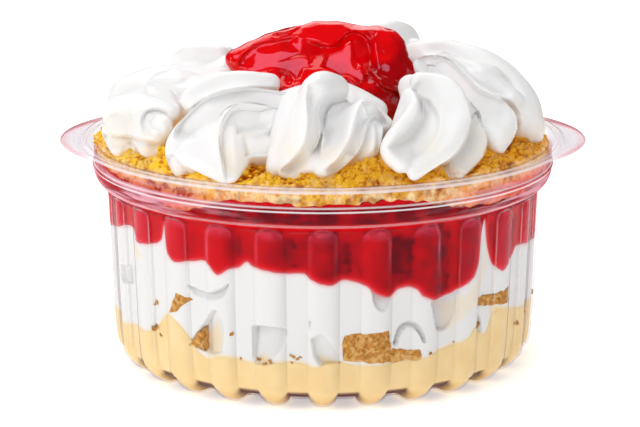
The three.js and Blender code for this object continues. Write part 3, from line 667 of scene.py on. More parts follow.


class Look:
    """A node material under construction."""

    def __init__(self, name):
        self.material = bpy.data.materials.new(name)
        self.material.use_nodes = True
        self.tree = self.material.node_tree
        self.surface = self.tree.nodes["Principled BSDF"]
        self.place = self.node("ShaderNodeTexCoord").outputs["Object"]

    def node(self, kind, settings=None, **inputs):
        node = self.tree.nodes.new(kind)
        for key, value in (settings or {}).items():
            setattr(node, key, value)
        for key, value in inputs.items():
            self.feed(node.inputs[key.replace("_", " ")], value)
        return node

    def feed(self, socket, value):
        if isinstance(value, bpy.types.NodeSocket):
            self.tree.links.new(value, socket)
        else:
            socket.default_value = value

    def set(self, **inputs):
        for key, value in inputs.items():
            self.feed(self.surface.inputs[key.replace("_", " ")], value)

    def noise(self, size, detail=3.0, roughness=0.5):
        """Noise with features of about `size` millimetres."""
        return self.node("ShaderNodeTexNoise", Vector=self.place, Scale=1 / (size * MM),
                         Detail=detail, Roughness=roughness).outputs["Fac"]

    def cells(self, size):
        return self.node("ShaderNodeTexVoronoi", Vector=self.place,
                         Scale=1 / (size * MM)).outputs["Distance"]

    def attribute(self, name):
        return self.node("ShaderNodeAttribute", {"attribute_name": name}).outputs["Fac"]

    def parts(self):
        """X, Y and Z of the place."""
        return self.node("ShaderNodeSeparateXYZ", Vector=self.place).outputs

    def height(self):
        return self.parts()["Z"]

    def between(self, value, low, high, to_low=0.0, to_high=1.0):
        node = self.node("ShaderNodeMapRange", {"interpolation_type": "SMOOTHSTEP"})
        for socket, number in zip(node.inputs, (value, low, high, to_low, to_high)):
            self.feed(socket, number)
        return node.outputs["Result"]

    def math(self, operation, a, b=0.0):
        node = self.node("ShaderNodeMath", {"operation": operation})
        self.feed(node.inputs[0], a)
        self.feed(node.inputs[1], b)
        return node.outputs[0]

    def times(self, a, b):
        return self.math("MULTIPLY", a, b)

    def plus(self, a, b):
        return self.math("ADD", a, b)

    def most(self, a, b):
        return self.math("MAXIMUM", a, b)

    def blend(self, factor, a, b, kind="MIX"):
        node = self.node("ShaderNodeMix", {"data_type": "RGBA", "blend_type": kind})
        self.feed(node.inputs["Factor"], factor)
        colours = [s for s in node.inputs if s.type == "RGBA"]
        self.feed(colours[0], a)
        self.feed(colours[1], b)
        return next(s for s in node.outputs if s.type == "RGBA")

    def mix_shaders(self, factor, first, second):
        node = self.node("ShaderNodeMixShader")
        for socket, value in zip(node.inputs, (factor, first.outputs[0], second.outputs[0])):
            self.feed(socket, value)
        return node

    def azimuth(self):
        """Turn round the cup in radians, 0 at the front and growing to the right."""
        x, y, _ = self.parts()
        return self.math("ARCTAN2", x, self.times(y, -1.0))

    def flute(self):
        """Where a place lies on its flute: across it from -1 to 1, and out from its middle
        line, where 1 is its edge, also round the arch at its top."""
        turns = self.times(self.azimuth(), FLUTES / math.tau)
        across = self.math("SUBTRACT", self.math("FRACT", self.plus(turns, 0.5)), 0.5)
        across = self.math("DIVIDE", across, WIDE_SHARE)
        rise = self.math("SUBTRACT", self.height(), ARCH["from"] * MM)
        rise = self.math("DIVIDE", self.most(rise, 0.0), (ARCH["to"] - ARCH["from"]) * MM)
        out = self.math("SQRT", self.plus(self.times(across, across), self.times(rise, rise)))
        return across, out

    def streaks(self, amount):
        """Streaks along the collar, more of them where the amount is higher."""
        _, _, z = self.parts()
        place = self.node("ShaderNodeCombineXYZ", X=self.times(self.azimuth(), 3.0),
                          Y=self.math("DIVIDE", z, 1.3 * MM))
        pattern = self.node("ShaderNodeTexNoise", Vector=place.outputs[0], Scale=1.0,
                            Detail=4.0, Roughness=0.55).outputs["Fac"]
        return self.times(amount, self.between(pattern, 0.42, 0.62))

    def near(self, value, middle, half):
        """1 at a value, falling to 0 at `half` from it."""
        away = self.math("ABSOLUTE", self.math("SUBTRACT", value, middle))
        return self.between(away, 0.0, half, 1.0, 0.0)

    def on_flutes(self):
        """1 over the fluted part of the wall."""
        (foot_low, foot_high), (head_low, head_high) = FLUTED["foot"], FLUTED["head"]
        return self.times(self.between(self.height(), foot_low * MM, foot_high * MM),
                          self.between(self.height(), head_low * MM, head_high * MM, 1.0, 0.0))

    def with_flute_shade(self, colour, strength=0.2):
        """The colour with painted shade: dark lines along the flutes' edges, and darker over their
        right sides, away from the light.
        """
        across, out = self.flute()
        right = self.between(across, -0.2, 0.2, 0.35, 1.0)
        line = self.times(self.near(out, 1.0, 0.09), right)
        side = self.times(self.between(across, 0.1, 1.0, 0.0, 0.4),
                          self.between(out, 1.0, 1.05, 1.0, 0.0))
        shade = self.times(self.most(line, side), self.on_flutes())
        return self.blend(self.times(shade, strength), colour, SEAM_SHADE, "MULTIPLY")

    def bump(self, height, distance):
        """A bump of `distance` millimetres."""
        return self.node("ShaderNodeBump", Height=height, Distance=distance * MM,
                         Strength=1.0).outputs["Normal"]


# ---- Settings ----
def colour_setting(name, description, red, green, blue):
    return FloatVectorProperty(name=name, description=description, subtype="COLOR", size=4,
                               min=0, max=1, default=linear(red, green, blue))


class CupSettings(bpy.types.PropertyGroup):
    wall: FloatProperty(name="Wall", description="Thickness of the plastic",
                        default=0.0008, min=0.0003, unit="LENGTH")
    tint: colour_setting("Tint", "What one pass through the plastic leaves", 250, 250, 250)
    edge_tint: colour_setting("Edge tint", "The plastic seen along its surface", 229, 222, 227)
    film: colour_setting("Film", "Where juice has run over the collar", 240, 150, 168)
    smear: colour_setting("Smear", "Streaks of milky juice there", 240, 176, 190)
    # Painted highlight: the white of the lines along the plastic's rings, flange and rim
    ridge: colour_setting("Ridge", "Bright lines along the plastic's rings", 252, 244, 248)
    gloss: FloatProperty(name="Roughness", description="Roughness of the plastic",
                         default=0.03, min=0, max=1, subtype="FACTOR")


class FillingSettings(bpy.types.PropertyGroup):
    inset: FloatProperty(name="Inset", description="How far the food lies below the cup's skin",
                         default=0.00045, min=0, unit="LENGTH")
    custard: colour_setting("Custard", "Colour of the custard", 249, 221, 166)
    # Colour of the custard's foot: painted shade with its own darker tone there, and its random
    # mottle
    custard_shade: colour_setting("Custard shade", "Colour of its foot", 228, 188, 118)
    cream: colour_setting("Cream", "Colour of the cream", 236, 236, 235)
    fruit_bright: colour_setting("Bright fruit", "Colour of the sauce", 218, 8, 22)
    # Dark fruit pieces, and the painted shade on the sauce
    fruit_pieces_and_shade: colour_setting("Dark fruit", "Colour of the fruit pieces", 104, 0, 18)
    # Painted highlights: pale pink glints on the sauce's flutes
    painted_glint: colour_setting("Veil", "Pale glints on the sauce's flutes", 236, 96, 122)
    blush: colour_setting("Blush", "Cream that the sauce has stained", 238, 150, 160)
    # Painted shadow: the dark maroon under the narrow strips at the foot
    juice: colour_setting("Juice", "Dark line under the narrow flutes", 88, 22, 20)
    crumb: colour_setting("Crumb", "Colour of the soaked sponge", 214, 150, 72)
    crumb_light: colour_setting("Light crumb", "Its drier patches", 236, 190, 118)
    crumb_dark: colour_setting("Dark crumb", "Its pores", 158, 96, 30)


class SpongeSettings(bpy.types.PropertyGroup):
    relief: FloatProperty(name="Relief", description="Depth of the crumbly relief",
                          default=0.003, min=0, unit="LENGTH")
    golden: colour_setting("Golden", "Colour of the sponge", 255, 204, 52)
    # Toasted spots, and the painted shade in the hollows of the sponge's relief
    toasted_and_shade: colour_setting("Toasted", "Colour in its hollows", 208, 94, 0)
    crust: colour_setting("Crust", "Its paler, drier patches", 255, 218, 126)
    # Painted shade over the sponge's right side
    right_side_shade: colour_setting("Baked", "Tint of its darker side", 214, 182, 178)
    pale: colour_setting("Pale", "Colour against the wall", 255, 220, 164)
    peach: colour_setting("Peach", "Its stained patches there", 246, 172, 92)
    # Painted light: the strength of the sponge's emission, which lights up its shaded crumb
    glow: FloatProperty(name="Glow", description="Light scattered inside the crumb",
                        default=0.5, min=0)
    crumbs: IntProperty(name="Crumbs", description="Number of loose crumbs",
                        default=1000, min=0, max=6000)


class CreamSettings(bpy.types.PropertyGroup):
    colour: colour_setting("Cream", "Colour of the piped cream", 245, 245, 245)
    # Painted bounce light from the sponge, on the swirls' lower parts
    painted_bounce: colour_setting("Warm", "Colour near the sponge", 250, 238, 216)
    detail: FloatProperty(name="Detail", description="Size of the mesh's faces",
                          default=0.0004, min=0.0002, unit="LENGTH")


class JamSettings(bpy.types.PropertyGroup):
    bright: colour_setting("Bright", "Colour of thin jam", 240, 4, 12)
    # Also the painted shade towards the jam's bottom and right side
    deep: colour_setting("Deep", "Colour of thick jam", 172, 0, 8)
    gloss: FloatProperty(name="Roughness", description="Roughness of the wet surface",
                         default=0.06, min=0, max=1, subtype="FACTOR")
    detail: FloatProperty(name="Detail", description="Size of the mesh's faces",
                          default=0.0004, min=0.0002, unit="LENGTH")


class StageSettings(bpy.types.PropertyGroup):
    floor: colour_setting("Floor", "Colour of the floor", 248, 248, 248)
    gleam_tint: colour_setting("Gleam's tint", "Colour of the light in gloss", 255, 204, 240)
    glow: FloatProperty(name="Glow", description="Light that the floor gives of its own",
                        default=0.5, min=0)
    sky: FloatProperty(name="Sky", description="Strength of the light all round",
                       default=0.46, min=0)
    reflected_sky: FloatProperty(name="Reflected sky", description="Its strength in reflections",
                                 default=0.06, min=0)
    key: FloatProperty(name="Key light", description="Power of the lamp at the upper left",
                       default=2.0, min=0, unit="POWER")
    gleam: FloatProperty(name="Gleam", description="Power of a lamp that only shows in gloss",
                         default=3.0, min=0, unit="POWER")
    sheen: FloatProperty(name="Sheen", description="Power of a lamp behind, seen only in gloss",
                         default=1.5, min=0, unit="POWER")
    strip: FloatProperty(name="Strip light", description="Power of the narrow lamp at the left",
                         default=0.35, min=0, unit="POWER")
    top: FloatProperty(name="Top light", description="Power of the lamp above and behind",
                       default=2.6, min=0, unit="POWER")
    fill: FloatProperty(name="Fill light", description="Power of the lamp at the right",
                        default=0.15, min=0, unit="POWER")


# ---- Materials ----
def clear_plastic(settings):
    look = Look("clear_plastic")
    facing = look.node("ShaderNodeLayerWeight", Blend=0.5).outputs["Facing"]
    edge = look.between(facing, 0.6, 1.0)
    colour = look.blend(edge, settings.tint, settings.edge_tint)
    film = look.attribute("film")
    colour = look.blend(film, colour, settings.film)
    through = look.node("ShaderNodeBsdfTransparent", Color=colour)
    shine = look.node("ShaderNodeBsdfGlossy", Roughness=settings.gloss)
    grazing = look.times(look.math("POWER", facing, 5.0), 0.3)
    clear = look.mix_shaders(look.plus(grazing, 0.004), through, shine)
    smeared = look.node("ShaderNodeBsdfDiffuse", Color=settings.smear)
    clear = look.mix_shaders(look.times(look.streaks(film), 0.75), clear, smeared)
    # Painted highlights: a white diffuse surface mixed in along the rings, the flange's lines and
    # the rim, and at the sides along the flutes' edges
    bright = look.node("ShaderNodeBsdfDiffuse", Color=settings.ridge)
    seam = look.times(look.near(look.flute()[1], 0.93, 0.05), look.on_flutes())
    outer = look.between(look.math("ABSOLUTE", look.azimuth()), 0.45, 1.1, 0.0, 0.35)
    lines = look.most(look.attribute("ridge"), look.times(seam, outer))
    output = look.tree.nodes["Material Output"]
    look.feed(output.inputs["Surface"], look.mix_shaders(lines, clear, bright).outputs[0])
    look.tree.nodes.remove(look.surface)
    return look.material


def custard_look(settings):
    look = Look("custard")
    # Darker towards the bottom: painted shade where the foot turns under, and the custard's own
    # darker tone there; random mottle besides
    foot = look.between(look.height(), 0.0, 6 * MM, 1.0, 0.0)
    mottle = look.between(look.noise(5), 0.3, 0.7, 0.0, 0.25)
    shade = look.most(look.times(foot, 0.75), mottle)
    colour = look.blend(shade, settings.custard, settings.custard_shade)
    # Painted shadow in dark maroon under the narrow strips at the foot, then painted shade along
    # the flutes
    colour = look.with_flute_shade(look.blend(look.attribute("foot"), colour, settings.juice))
    look.set(Base_Color=colour, Specular_IOR_Level=WET_AT_WALL, Roughness=0.4,
             Subsurface_Weight=0.15, Subsurface_Radius=(1, 0.6, 0.3),
             Subsurface_Scale=0.0015, Normal=look.bump(look.noise(1.5), 0.05))
    return look.material


def layer_cream_look(settings):
    look = Look("layer_cream")
    colour = look.blend(look.attribute("smear"), settings.cream, settings.custard)
    # Painted shade along the flutes' edges and over their right sides
    colour = look.with_flute_shade(look.blend(look.attribute("blush"), colour, settings.blush))
    look.set(Base_Color=colour, Specular_IOR_Level=WET_AT_WALL, Roughness=0.45,
             Subsurface_Weight=0.2,
             Subsurface_Radius=(1, 0.9, 0.8), Subsurface_Scale=0.001,
             Normal=look.bump(look.noise(2.2), 0.06))
    return look.material


def fruit_look(settings):
    look = Look("fruit")
    pieces = look.between(look.cells(6), 0.2, 0.6, 1.0, 0.0)
    grain = look.between(look.noise(2.6, 4), 0.35, 0.7)
    pattern = look.plus(0.55, look.times(0.6, look.most(pieces, grain)))
    # Dark fruit pieces and painted shade, from the dark attribute
    dark = look.math("MINIMUM", look.times(look.attribute("dark"), pattern), 1.0)
    colour = look.blend(dark, settings.fruit_bright, settings.fruit_pieces_and_shade)
    # Painted shade along the flutes' edges and over their right sides
    colour = look.with_flute_shade(look.blend(look.attribute("blush"), colour, settings.blush), 0.55)
    across, out = look.flute()
    azimuth = look.azimuth()
    turn = look.math("ABSOLUTE", azimuth)
    outward = look.times(across, look.math("SIGN", azimuth))
    # Painted highlights: pale crescents near the flutes' outer edges, a rim round each arch, and a
    # sheen over the sides
    crescent = look.times(look.near(out, 0.78, 0.2), look.between(outward, 0.1, 0.5))
    crescent = look.times(crescent, look.between(turn, 0.1, 0.75, 0.15, 0.75))
    crown = look.times(look.between(out, 1.0, 1.03, 1.0, 0.0),
                       look.between(look.height(), 39.5 * MM, 42.5 * MM, 0.0, 0.45))
    painted_glint = look.times(look.most(crescent, crown), look.between(look.height(), 29 * MM, 38 * MM))
    sheen = look.times(look.between(turn, 0.45, 1.1, 0.0, 0.24),
                       look.between(turn, 1.3, 1.8, 1.0, 0.2))
    painted_glint = look.most(painted_glint, look.times(sheen, look.between(out, 1.0, 0.8)))
    painted_glint = look.times(painted_glint, look.between(look.noise(1.5, 4), 0.3, 0.6, 0.5, 1.0))
    painted_glint = look.times(painted_glint, look.on_flutes())
    colour = look.blend(painted_glint, colour, settings.painted_glint)
    look.set(Base_Color=colour, Specular_IOR_Level=WET_AT_WALL, Roughness=0.22,
             Subsurface_Weight=0.1, Subsurface_Radius=(1, 0.1, 0.08), Subsurface_Scale=0.001,
             Normal=look.bump(look.noise(1.2), 0.08))
    return look.material


def crumb_look(settings):
    look = Look("soaked_crumb")
    pores = look.between(look.noise(0.8, 5, 0.7), 0.44, 0.62, 0.0, 0.8)
    colour = look.blend(pores, settings.crumb, settings.crumb_dark)
    low = look.between(look.height(), 11 * MM, 17 * MM, 0.06, 0.0)
    light = look.between(look.plus(look.noise(1.2, 5, 0.7), low), 0.49, 0.6, 0.0, 0.85)
    colour = look.blend(light, colour, settings.crumb_light)
    look.set(Base_Color=colour, Specular_IOR_Level=WET_AT_WALL, Roughness=0.7,
             Normal=look.bump(look.noise(0.6, 5, 0.65), 0.5))
    return look.material


def sponge_look(settings):
    look = Look("golden_sponge")
    # Painted shade: the sponge darkens to the toasted colour in the hollows of its relief; the fine
    # noise adds toasted spots
    deep = look.between(look.attribute("relief"), 0.28, 0.57, 1.0, 0.0)
    fine = look.between(look.noise(1.6, 6, 0.75), 0.49, 0.6)
    toast_and_shade = look.most(deep, look.times(fine, 0.7))
    colour = look.blend(toast_and_shade, settings.golden, settings.toasted_and_shade)
    light = look.between(look.noise(4, 3), 0.52, 0.66, 0.0, 0.75)
    light = look.times(light, look.math("SUBTRACT", 1.0, look.times(toast_and_shade, 0.7)))
    colour = look.blend(light, colour, settings.crust)
    # Painted shade: the sponge darker and redder towards its right side, away from the light
    x, _, _ = look.parts()
    right_side_shade = look.between(x, -34 * MM, 36 * MM, 0.0, 0.8)
    colour = look.blend(right_side_shade, colour, settings.right_side_shade, "MULTIPLY")
    patches = look.between(look.noise(2.0, 5, 0.65), 0.44, 0.62)
    at_wall = look.blend(patches, settings.pale, settings.peach)
    golden = look.between(look.noise(6, 3), 0.5, 0.62, 0.0, 0.85)
    at_wall = look.blend(golden, at_wall, colour)
    colour = look.blend(look.attribute("side"), colour, at_wall)
    # Painted light: the sponge glows by emission in its own colour, less in its darker hollows
    painted_glow = look.blend(look.times(toast_and_shade, 0.75), colour, (0, 0, 0, 1))
    look.set(Base_Color=colour, Specular_IOR_Level=0.12, Roughness=0.5,
             Emission_Color=painted_glow, Emission_Strength=settings.glow,
             Normal=look.bump(look.noise(0.7, 5, 0.7), 1.7))
    return look.material


def piped_cream_look(settings):
    look = Look("piped_cream")
    # Painted light: a warm tint low on the swirls, in random patches, standing in for light bounced
    # from the sponge
    painted_bounce = look.between(look.noise(9), 0.4, 0.65, 0.05, 0.6)
    painted_bounce = look.times(painted_bounce, look.between(look.height(), 57 * MM, 66 * MM, 1.0, 0.1))
    look.set(Base_Color=look.blend(painted_bounce, settings.colour, settings.painted_bounce),
             Specular_IOR_Level=0.3, Roughness=0.42,
             Subsurface_Weight=0.25, Subsurface_Radius=(1, 0.9, 0.8),
             Subsurface_Scale=0.0012, Normal=look.bump(look.noise(1.2), 0.02))
    return look.material


def jam_look(settings):
    look = Look("jam")
    x, _, z = look.parts()
    # Painted shade: the jam is darker towards the bottom and the right, away from the light, and
    # deeper in random patches
    low = look.between(look.math("SUBTRACT", look.times(x, 0.8), z), -68 * MM, -52 * MM)
    deep = look.plus(look.times(look.noise(7), 0.7), look.times(low, 0.45))
    deep = look.between(deep, 0.3, 0.62)
    look.set(Base_Color=look.blend(deep, settings.bright, settings.deep),
             Specular_IOR_Level=0.45, Roughness=settings.gloss, Subsurface_Weight=0.1,
             Subsurface_Radius=(1, 0.08, 0.05), Subsurface_Scale=0.002)
    return look.material


def floor_look(settings):
    look = Look("pale_floor")
    look.set(Base_Color=settings.floor, Specular_IOR_Level=0.1, Roughness=0.8,
             Emission_Color=(1, 1, 1, 1), Emission_Strength=settings.glow)
    return look.material


# ---- The layers' edges ----
def wall_noise(azimuth, height, size):
    return wobble(polar(azimuth, SIDE_RADIUS, height), size)


def ragged(azimuth, size, amount, seed):
    """Small unevenness of an edge, of its own for each seed."""
    return amount * wall_noise(azimuth, seed, size)


def custard_edge(azimuth):
    return edge_height(CUSTARD_TOP, azimuth) + ragged(azimuth, 3, 0.35, 11)


def fruit_edge(azimuth):
    return edge_height(FRUIT_BOTTOM, azimuth) + ragged(azimuth, 1.8, 0.2, 37)


def sponge_edge(azimuth):
    return edge_height(FRUIT_TOP, azimuth) + ragged(azimuth, 2.2, 0.8, 71)


def on_wall(azimuth, height):
    """A place of the wall's front, unrolled."""
    return Vector((math.radians(azimuth) * SIDE_RADIUS, height))


def line_distance(place, line):
    return math.sqrt(min(off.length_squared for _, _, off in offsets(place, line)))


def inside(place, outline, box):
    """Distance inside a closed outline of a plane, or 0 outside it."""
    if not in_box(place, box):
        return 0
    crossings = 0
    for start, end in zip(outline, outline[1:]):
        if (start.y > place.y) != (end.y > place.y):
            at = start.x + (place.y - start.y) / (end.y - start.y) * (end.x - start.x)
            crossings += place.x < at
    return line_distance(place, outline) if crossings % 2 else 0


def unrolled(pairs):
    return [on_wall(*pair) for pair in pairs]


def closed_shape(pairs, steps):
    """A smooth closed outline on the unrolled wall, with its box."""
    outline = unrolled(smooth_line(pairs + pairs[:1], steps))
    return outline, box_of(outline)


HOLLOW_SHAPES = [(closed_shape(item["outline"], 3), on_wall(*item["from"]), on_wall(*item["to"]),
                  item["deep"], item["shallow"]) for item in HOLLOWS]
SMEAR_SHAPES = [(closed_shape(outline, 1), strength, soft) for outline, strength, soft in SMEARS]
FRUIT_LINE = unrolled(smooth_line(FRUIT_BOTTOM, 2))
FRUIT_REACH = [point.x for point in FRUIT_LINE]
CHUNK_SHAPES = [closed_shape(corners, 1) for corners, _ in CHUNKS.values()]


def hollow(azimuth, height):
    """Depth of the hollows in the cream."""
    place = on_wall(front_half(azimuth), height)
    depth = 0
    for shape, start, end, deep, shallow in HOLLOW_SHAPES:
        within = inside(place, *shape)
        if within:
            along = end - start
            t = soft_step(0, 1, (place - start).dot(along) / along.length_squared)
            depth = max(depth, mix(deep, shallow, t) * soft_step(0, HOLLOW_EDGE, within))
    return depth


def chunk_room(azimuth, height):
    """Depth of the room that the layers leave for the chunks."""
    place = on_wall(azimuth, height)
    return CHUNK_ROOM * max(soft_step(0.4, 0.8, inside(place, *shape))
                            for shape in CHUNK_SHAPES)


def smear(azimuth, height):
    """How much custard is smeared over the cream."""
    place = on_wall(front_half(azimuth), height)
    rough = 0.5 * wall_noise(azimuth, height, 1.6)
    best = 0.8 * soft_step(1.0, 0, height - custard_edge(azimuth))
    for shape, strength, soft in SMEAR_SHAPES:
        within = inside(place, *shape)
        if within:
            best = max(best, strength * soft_step(0, soft, within + rough))
    return best


def from_fruit_edge(azimuth, height):
    """Distance to the fruit's lower edge along the wall, up to FRUIT_NEAR."""
    place = on_wall(front_half(azimuth), height)
    first = bisect.bisect_left(FRUIT_REACH, place.x - FRUIT_NEAR - 1)
    past = bisect.bisect_right(FRUIT_REACH, place.x + FRUIT_NEAR + 1)
    line = FRUIT_LINE[max(0, first - 2):past + 2]
    return min(FRUIT_NEAR, line_distance(place, line))


# ---- The pieces ----
def build_cup(settings):
    wall = settings.wall / MM
    outer, inner = Skin(0), Skin(wall)
    under, top = FLANGE_Z
    bead_out = BEAD["radius"] + BEAD["half"]

    def reach(azimuth):
        from_tab = abs(abs(azimuth) - 90) / TAB["half"]
        return FLANGE_RADIUS + TAB["reach"] * max(0, 1 - from_tab ** 2) ** TAB["sharpness"]

    def flat(share, height):
        return lambda azimuth: (mix(bead_out, reach(azimuth), share), height)

    def ring(radius, height):
        return lambda azimuth: (radius, height)

    edge, lip = FLANGE_EDGE["from"], FLANGE_EDGE["round"]
    rim = [ring(COLLAR_RADIUS + 0.15, under - 0.05), ring(COLLAR_RADIUS + 0.6, under),
           flat(0, under), flat(0.5, under), flat(edge, under),
           flat(1 - lip / 4, under + lip), flat(1, (under + top) / 2),
           flat(1 - lip / 4, top - lip), flat(edge, top), flat(0.5, top), flat(0.1, top)]
    for ring_shape in (BEAD, FINE_RING):
        for step in range(RIDGE_STEPS + 1):
            turn = math.pi * step / RIDGE_STEPS
            rim.append(ring(ring_shape["radius"] + ring_shape["half"] * math.cos(turn),
                            top + ring_shape["height"] * math.sin(turn)))
    rim += [ring(COLLAR_RADIUS - wall + 0.35, top), ring(COLLAR_RADIUS - wall + 0.1, top - 0.1)]
    rows = ([ring(0, 0)] + [outer.row(i) for i in range(outer.count)] + rim
            + [inner.row(i) for i in reversed(range(inner.count))] + [ring(0, wall)])
    bm = spun_body(rows, "cup")

    def ridge(place):
        """Painted highlights: where the plastic's rings and edges are drawn as bright lines, as if
        they caught the light.
        """
        radius = place.xy.length
        if place.z > ABOVE_COLLAR:
            rim_highlight = 0.5 * soft_step(0.3, 0.1, abs(radius - reach(azimuth_of(place))))
            lines = [0.35 * soft_step(0.25, 0.05, abs(radius - at)) for at in FLANGE_HIGHLIGHTS]
            return max(rim_highlight, *lines)
        if radius < COLLAR_RADIUS - 2:
            return 0
        return max(soft_step(half, half / 3, abs(place.z - height)) * strength
                   for height, half, strength in COLLAR_HIGHLIGHTS)

    def film(place):
        """Where juice has run over the collar, and the tint of the tabs' edges."""
        azimuth = azimuth_of(place)
        if place.z > ABOVE_COLLAR:
            tab = soft_step(0.2, 2, reach(azimuth) - FLANGE_RADIUS)
            return 0.8 * tab * soft_step(0.4, 0.1, reach(azimuth) - place.xy.length)
        side = max(soft_step(*JUICE["left"], azimuth), soft_step(*JUICE["right"], azimuth))
        return side * soft_step(*JUICE["low"], place.z) * soft_step(*JUICE["high"], place.z)

    # Strength of the painted highlights, and of the collar's juice tint
    paint(bm, "ridge", ridge)
    paint(bm, "film", film)
    finished(bm, "fluted_cup", clear_plastic(settings), ["cup"])


def level_rows(edge, level):
    """Rows from the wall over a layer's hidden face to the axis."""
    def at(radius, share):
        return lambda azimuth: (radius, mix(level, edge(azimuth), share))
    return [at(*row) for row in FACE_ROWS]


def side_rows(skin, low, high, count, depth):
    """Rows up the wall from one edge to another, set back by a depth."""
    def at(share):
        def place(azimuth):
            height = mix(low(azimuth), high(azimuth), share)
            return skin.radius(azimuth, height) - depth(azimuth, height), height
        return place
    return [at(i / count) for i in range(count + 1)]


def build_custard(settings):
    skin = Skin(settings.inset / MM)
    foot = [i for i in range(skin.count) if skin.crest[i].y < HEEL_HEIGHT]
    rows = [lambda azimuth: (0, skin.crest[0].y)] + [skin.row(i) for i in foot]
    start = skin.strip[foot[-1]].y + 0.6
    rows += side_rows(skin, lambda azimuth: start, custard_edge, WALL_ROWS["custard"], chunk_room)
    rows += level_rows(custard_edge, LEVEL["custard"])
    bm = spun_body(rows, "custard")

    # Painted shadow: how much dark maroon lies under each narrow strip, where it turns under at the
    # foot
    def foot_shade(place):
        radius = place.xy.length
        under = (soft_step(*FOOT_SHADE["radius"], radius)
                 * soft_step(*FOOT_SHADE["height"], place.z))
        return under * skin.share(azimuth_of(place), place.z)

    paint(bm, "foot", foot_shade)
    crease(bm)
    finished(bm, "custard_layer", custard_look(settings), ["custard"])


def build_layer_cream(settings):
    skin = Skin(settings.inset / MM)

    def depth(azimuth, height):
        room = max(hollow(azimuth, height), chunk_room(azimuth, height))
        return room + 0.06 * (1 + wall_noise(azimuth, height, 3))

    rows = list(reversed(level_rows(custard_edge, LEVEL["custard"])))
    rows += side_rows(skin, custard_edge, fruit_edge, WALL_ROWS["cream"], depth)
    rows += level_rows(fruit_edge, LEVEL["fruit_bottom"])
    bm = spun_body(rows, "cream")

    def blush(place):
        if place.z < BLUSH_FROM:
            return 0
        return 0.8 * math.exp(-from_fruit_edge(azimuth_of(place), place.z) / 0.3)

    paint(bm, "smear", lambda place: smear(azimuth_of(place), place.z))
    paint(bm, "blush", blush)
    crease(bm)
    finished(bm, "cream_between", layer_cream_look(settings), ["cream_layer"])


def build_fruit(settings):
    skin = Skin(settings.inset / MM)

    def depth(azimuth, height):
        return 0.25 * soft_step(0.8, 0, height - fruit_edge(azimuth))

    rows = list(reversed(level_rows(fruit_edge, LEVEL["fruit_bottom"])))
    rows += side_rows(skin, fruit_edge, sponge_edge, WALL_ROWS["fruit"], depth)
    rows += level_rows(sponge_edge, LEVEL["fruit_top"])
    bm = spun_body(rows, "fruit")

    def dark(place):
        """Each wide flute and each narrow strip has a tone of its own, the strips darker. On top
        lies painted shade, darker over each flute's right side and towards the front's middle, and
        a painted shadow band behind the collar.
        """
        azimuth = azimuth_of(place)
        flute = math.floor(azimuth / PITCH + 0.5)
        across = azimuth / PITCH - flute
        strip = abs(across) > WIDE_SHARE
        part = flute + (0.5 if strip and across > 0 else -0.5 if strip else 0)
        tone = 0.5 + 0.5 * noise.cell(Vector((2 * part + 0.5, 3.5, 7.5)))
        inner = soft_step(0.2, 2.5, from_fruit_edge(azimuth, place.z))
        below_arch = soft_step(43, 39, place.z) if strip else soft_step(44, 42, place.z)
        middle = math.exp(-((azimuth - FRUIT_SHADE_MIDDLE["azimuth"]) / FRUIT_SHADE_MIDDLE["spread"]) ** 2)
        # Painted shade: darker over each flute's right side and towards the front's middle, on top
        # of each flute's own tone
        shade = 0.3 + 0.4 * tone + 0.2 * strip + 0.5 * across
        shade *= below_arch * (0.12 + 1.28 * middle)
        # Painted shadow: a dark band behind the collar, deepest in the middle
        collar_shadow = soft_step(44.2, 45.2, place.z) * soft_step(49.6, 47.5, place.z)
        return min(1, max(0, inner * shade + (0.35 + 0.9 * middle) * collar_shadow))

    def blush(place):
        return 0.7 * math.exp(-from_fruit_edge(azimuth_of(place), place.z) / 0.22)

    paint(bm, "dark", dark)
    paint(bm, "blush", blush)
    crease(bm)
    finished(bm, "fruit_between", fruit_look(settings), ["fruit_layer"])


def crumbly(place):
    """The relief of sponge, from about -1 to 1."""
    lump = 0.6 * wobble(place, GRAIN["lump"])
    crumb = 0.6 * (0.5 - noise.voronoi(place / GRAIN["crumb"])[0][0])
    fibre = 0.8 * (0.3 - abs(wobble(place, GRAIN["fibre"])))
    return lump + crumb + fibre + 0.35 * wobble(place, GRAIN["fine"])


def piped_surface():
    """The topping's solids in millimetres, for finding what lies near them."""
    corners, faces = [], []
    for name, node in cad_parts.items():
        if name == "jam" or name.startswith("cream_swirl"):
            first = len(corners)
            corners += [vert.co / MM for vert in node.data.vertices]
            faces += [[first + i for i in face.vertices] for face in node.data.polygons]
    return BVHTree.FromPolygons(corners, faces)


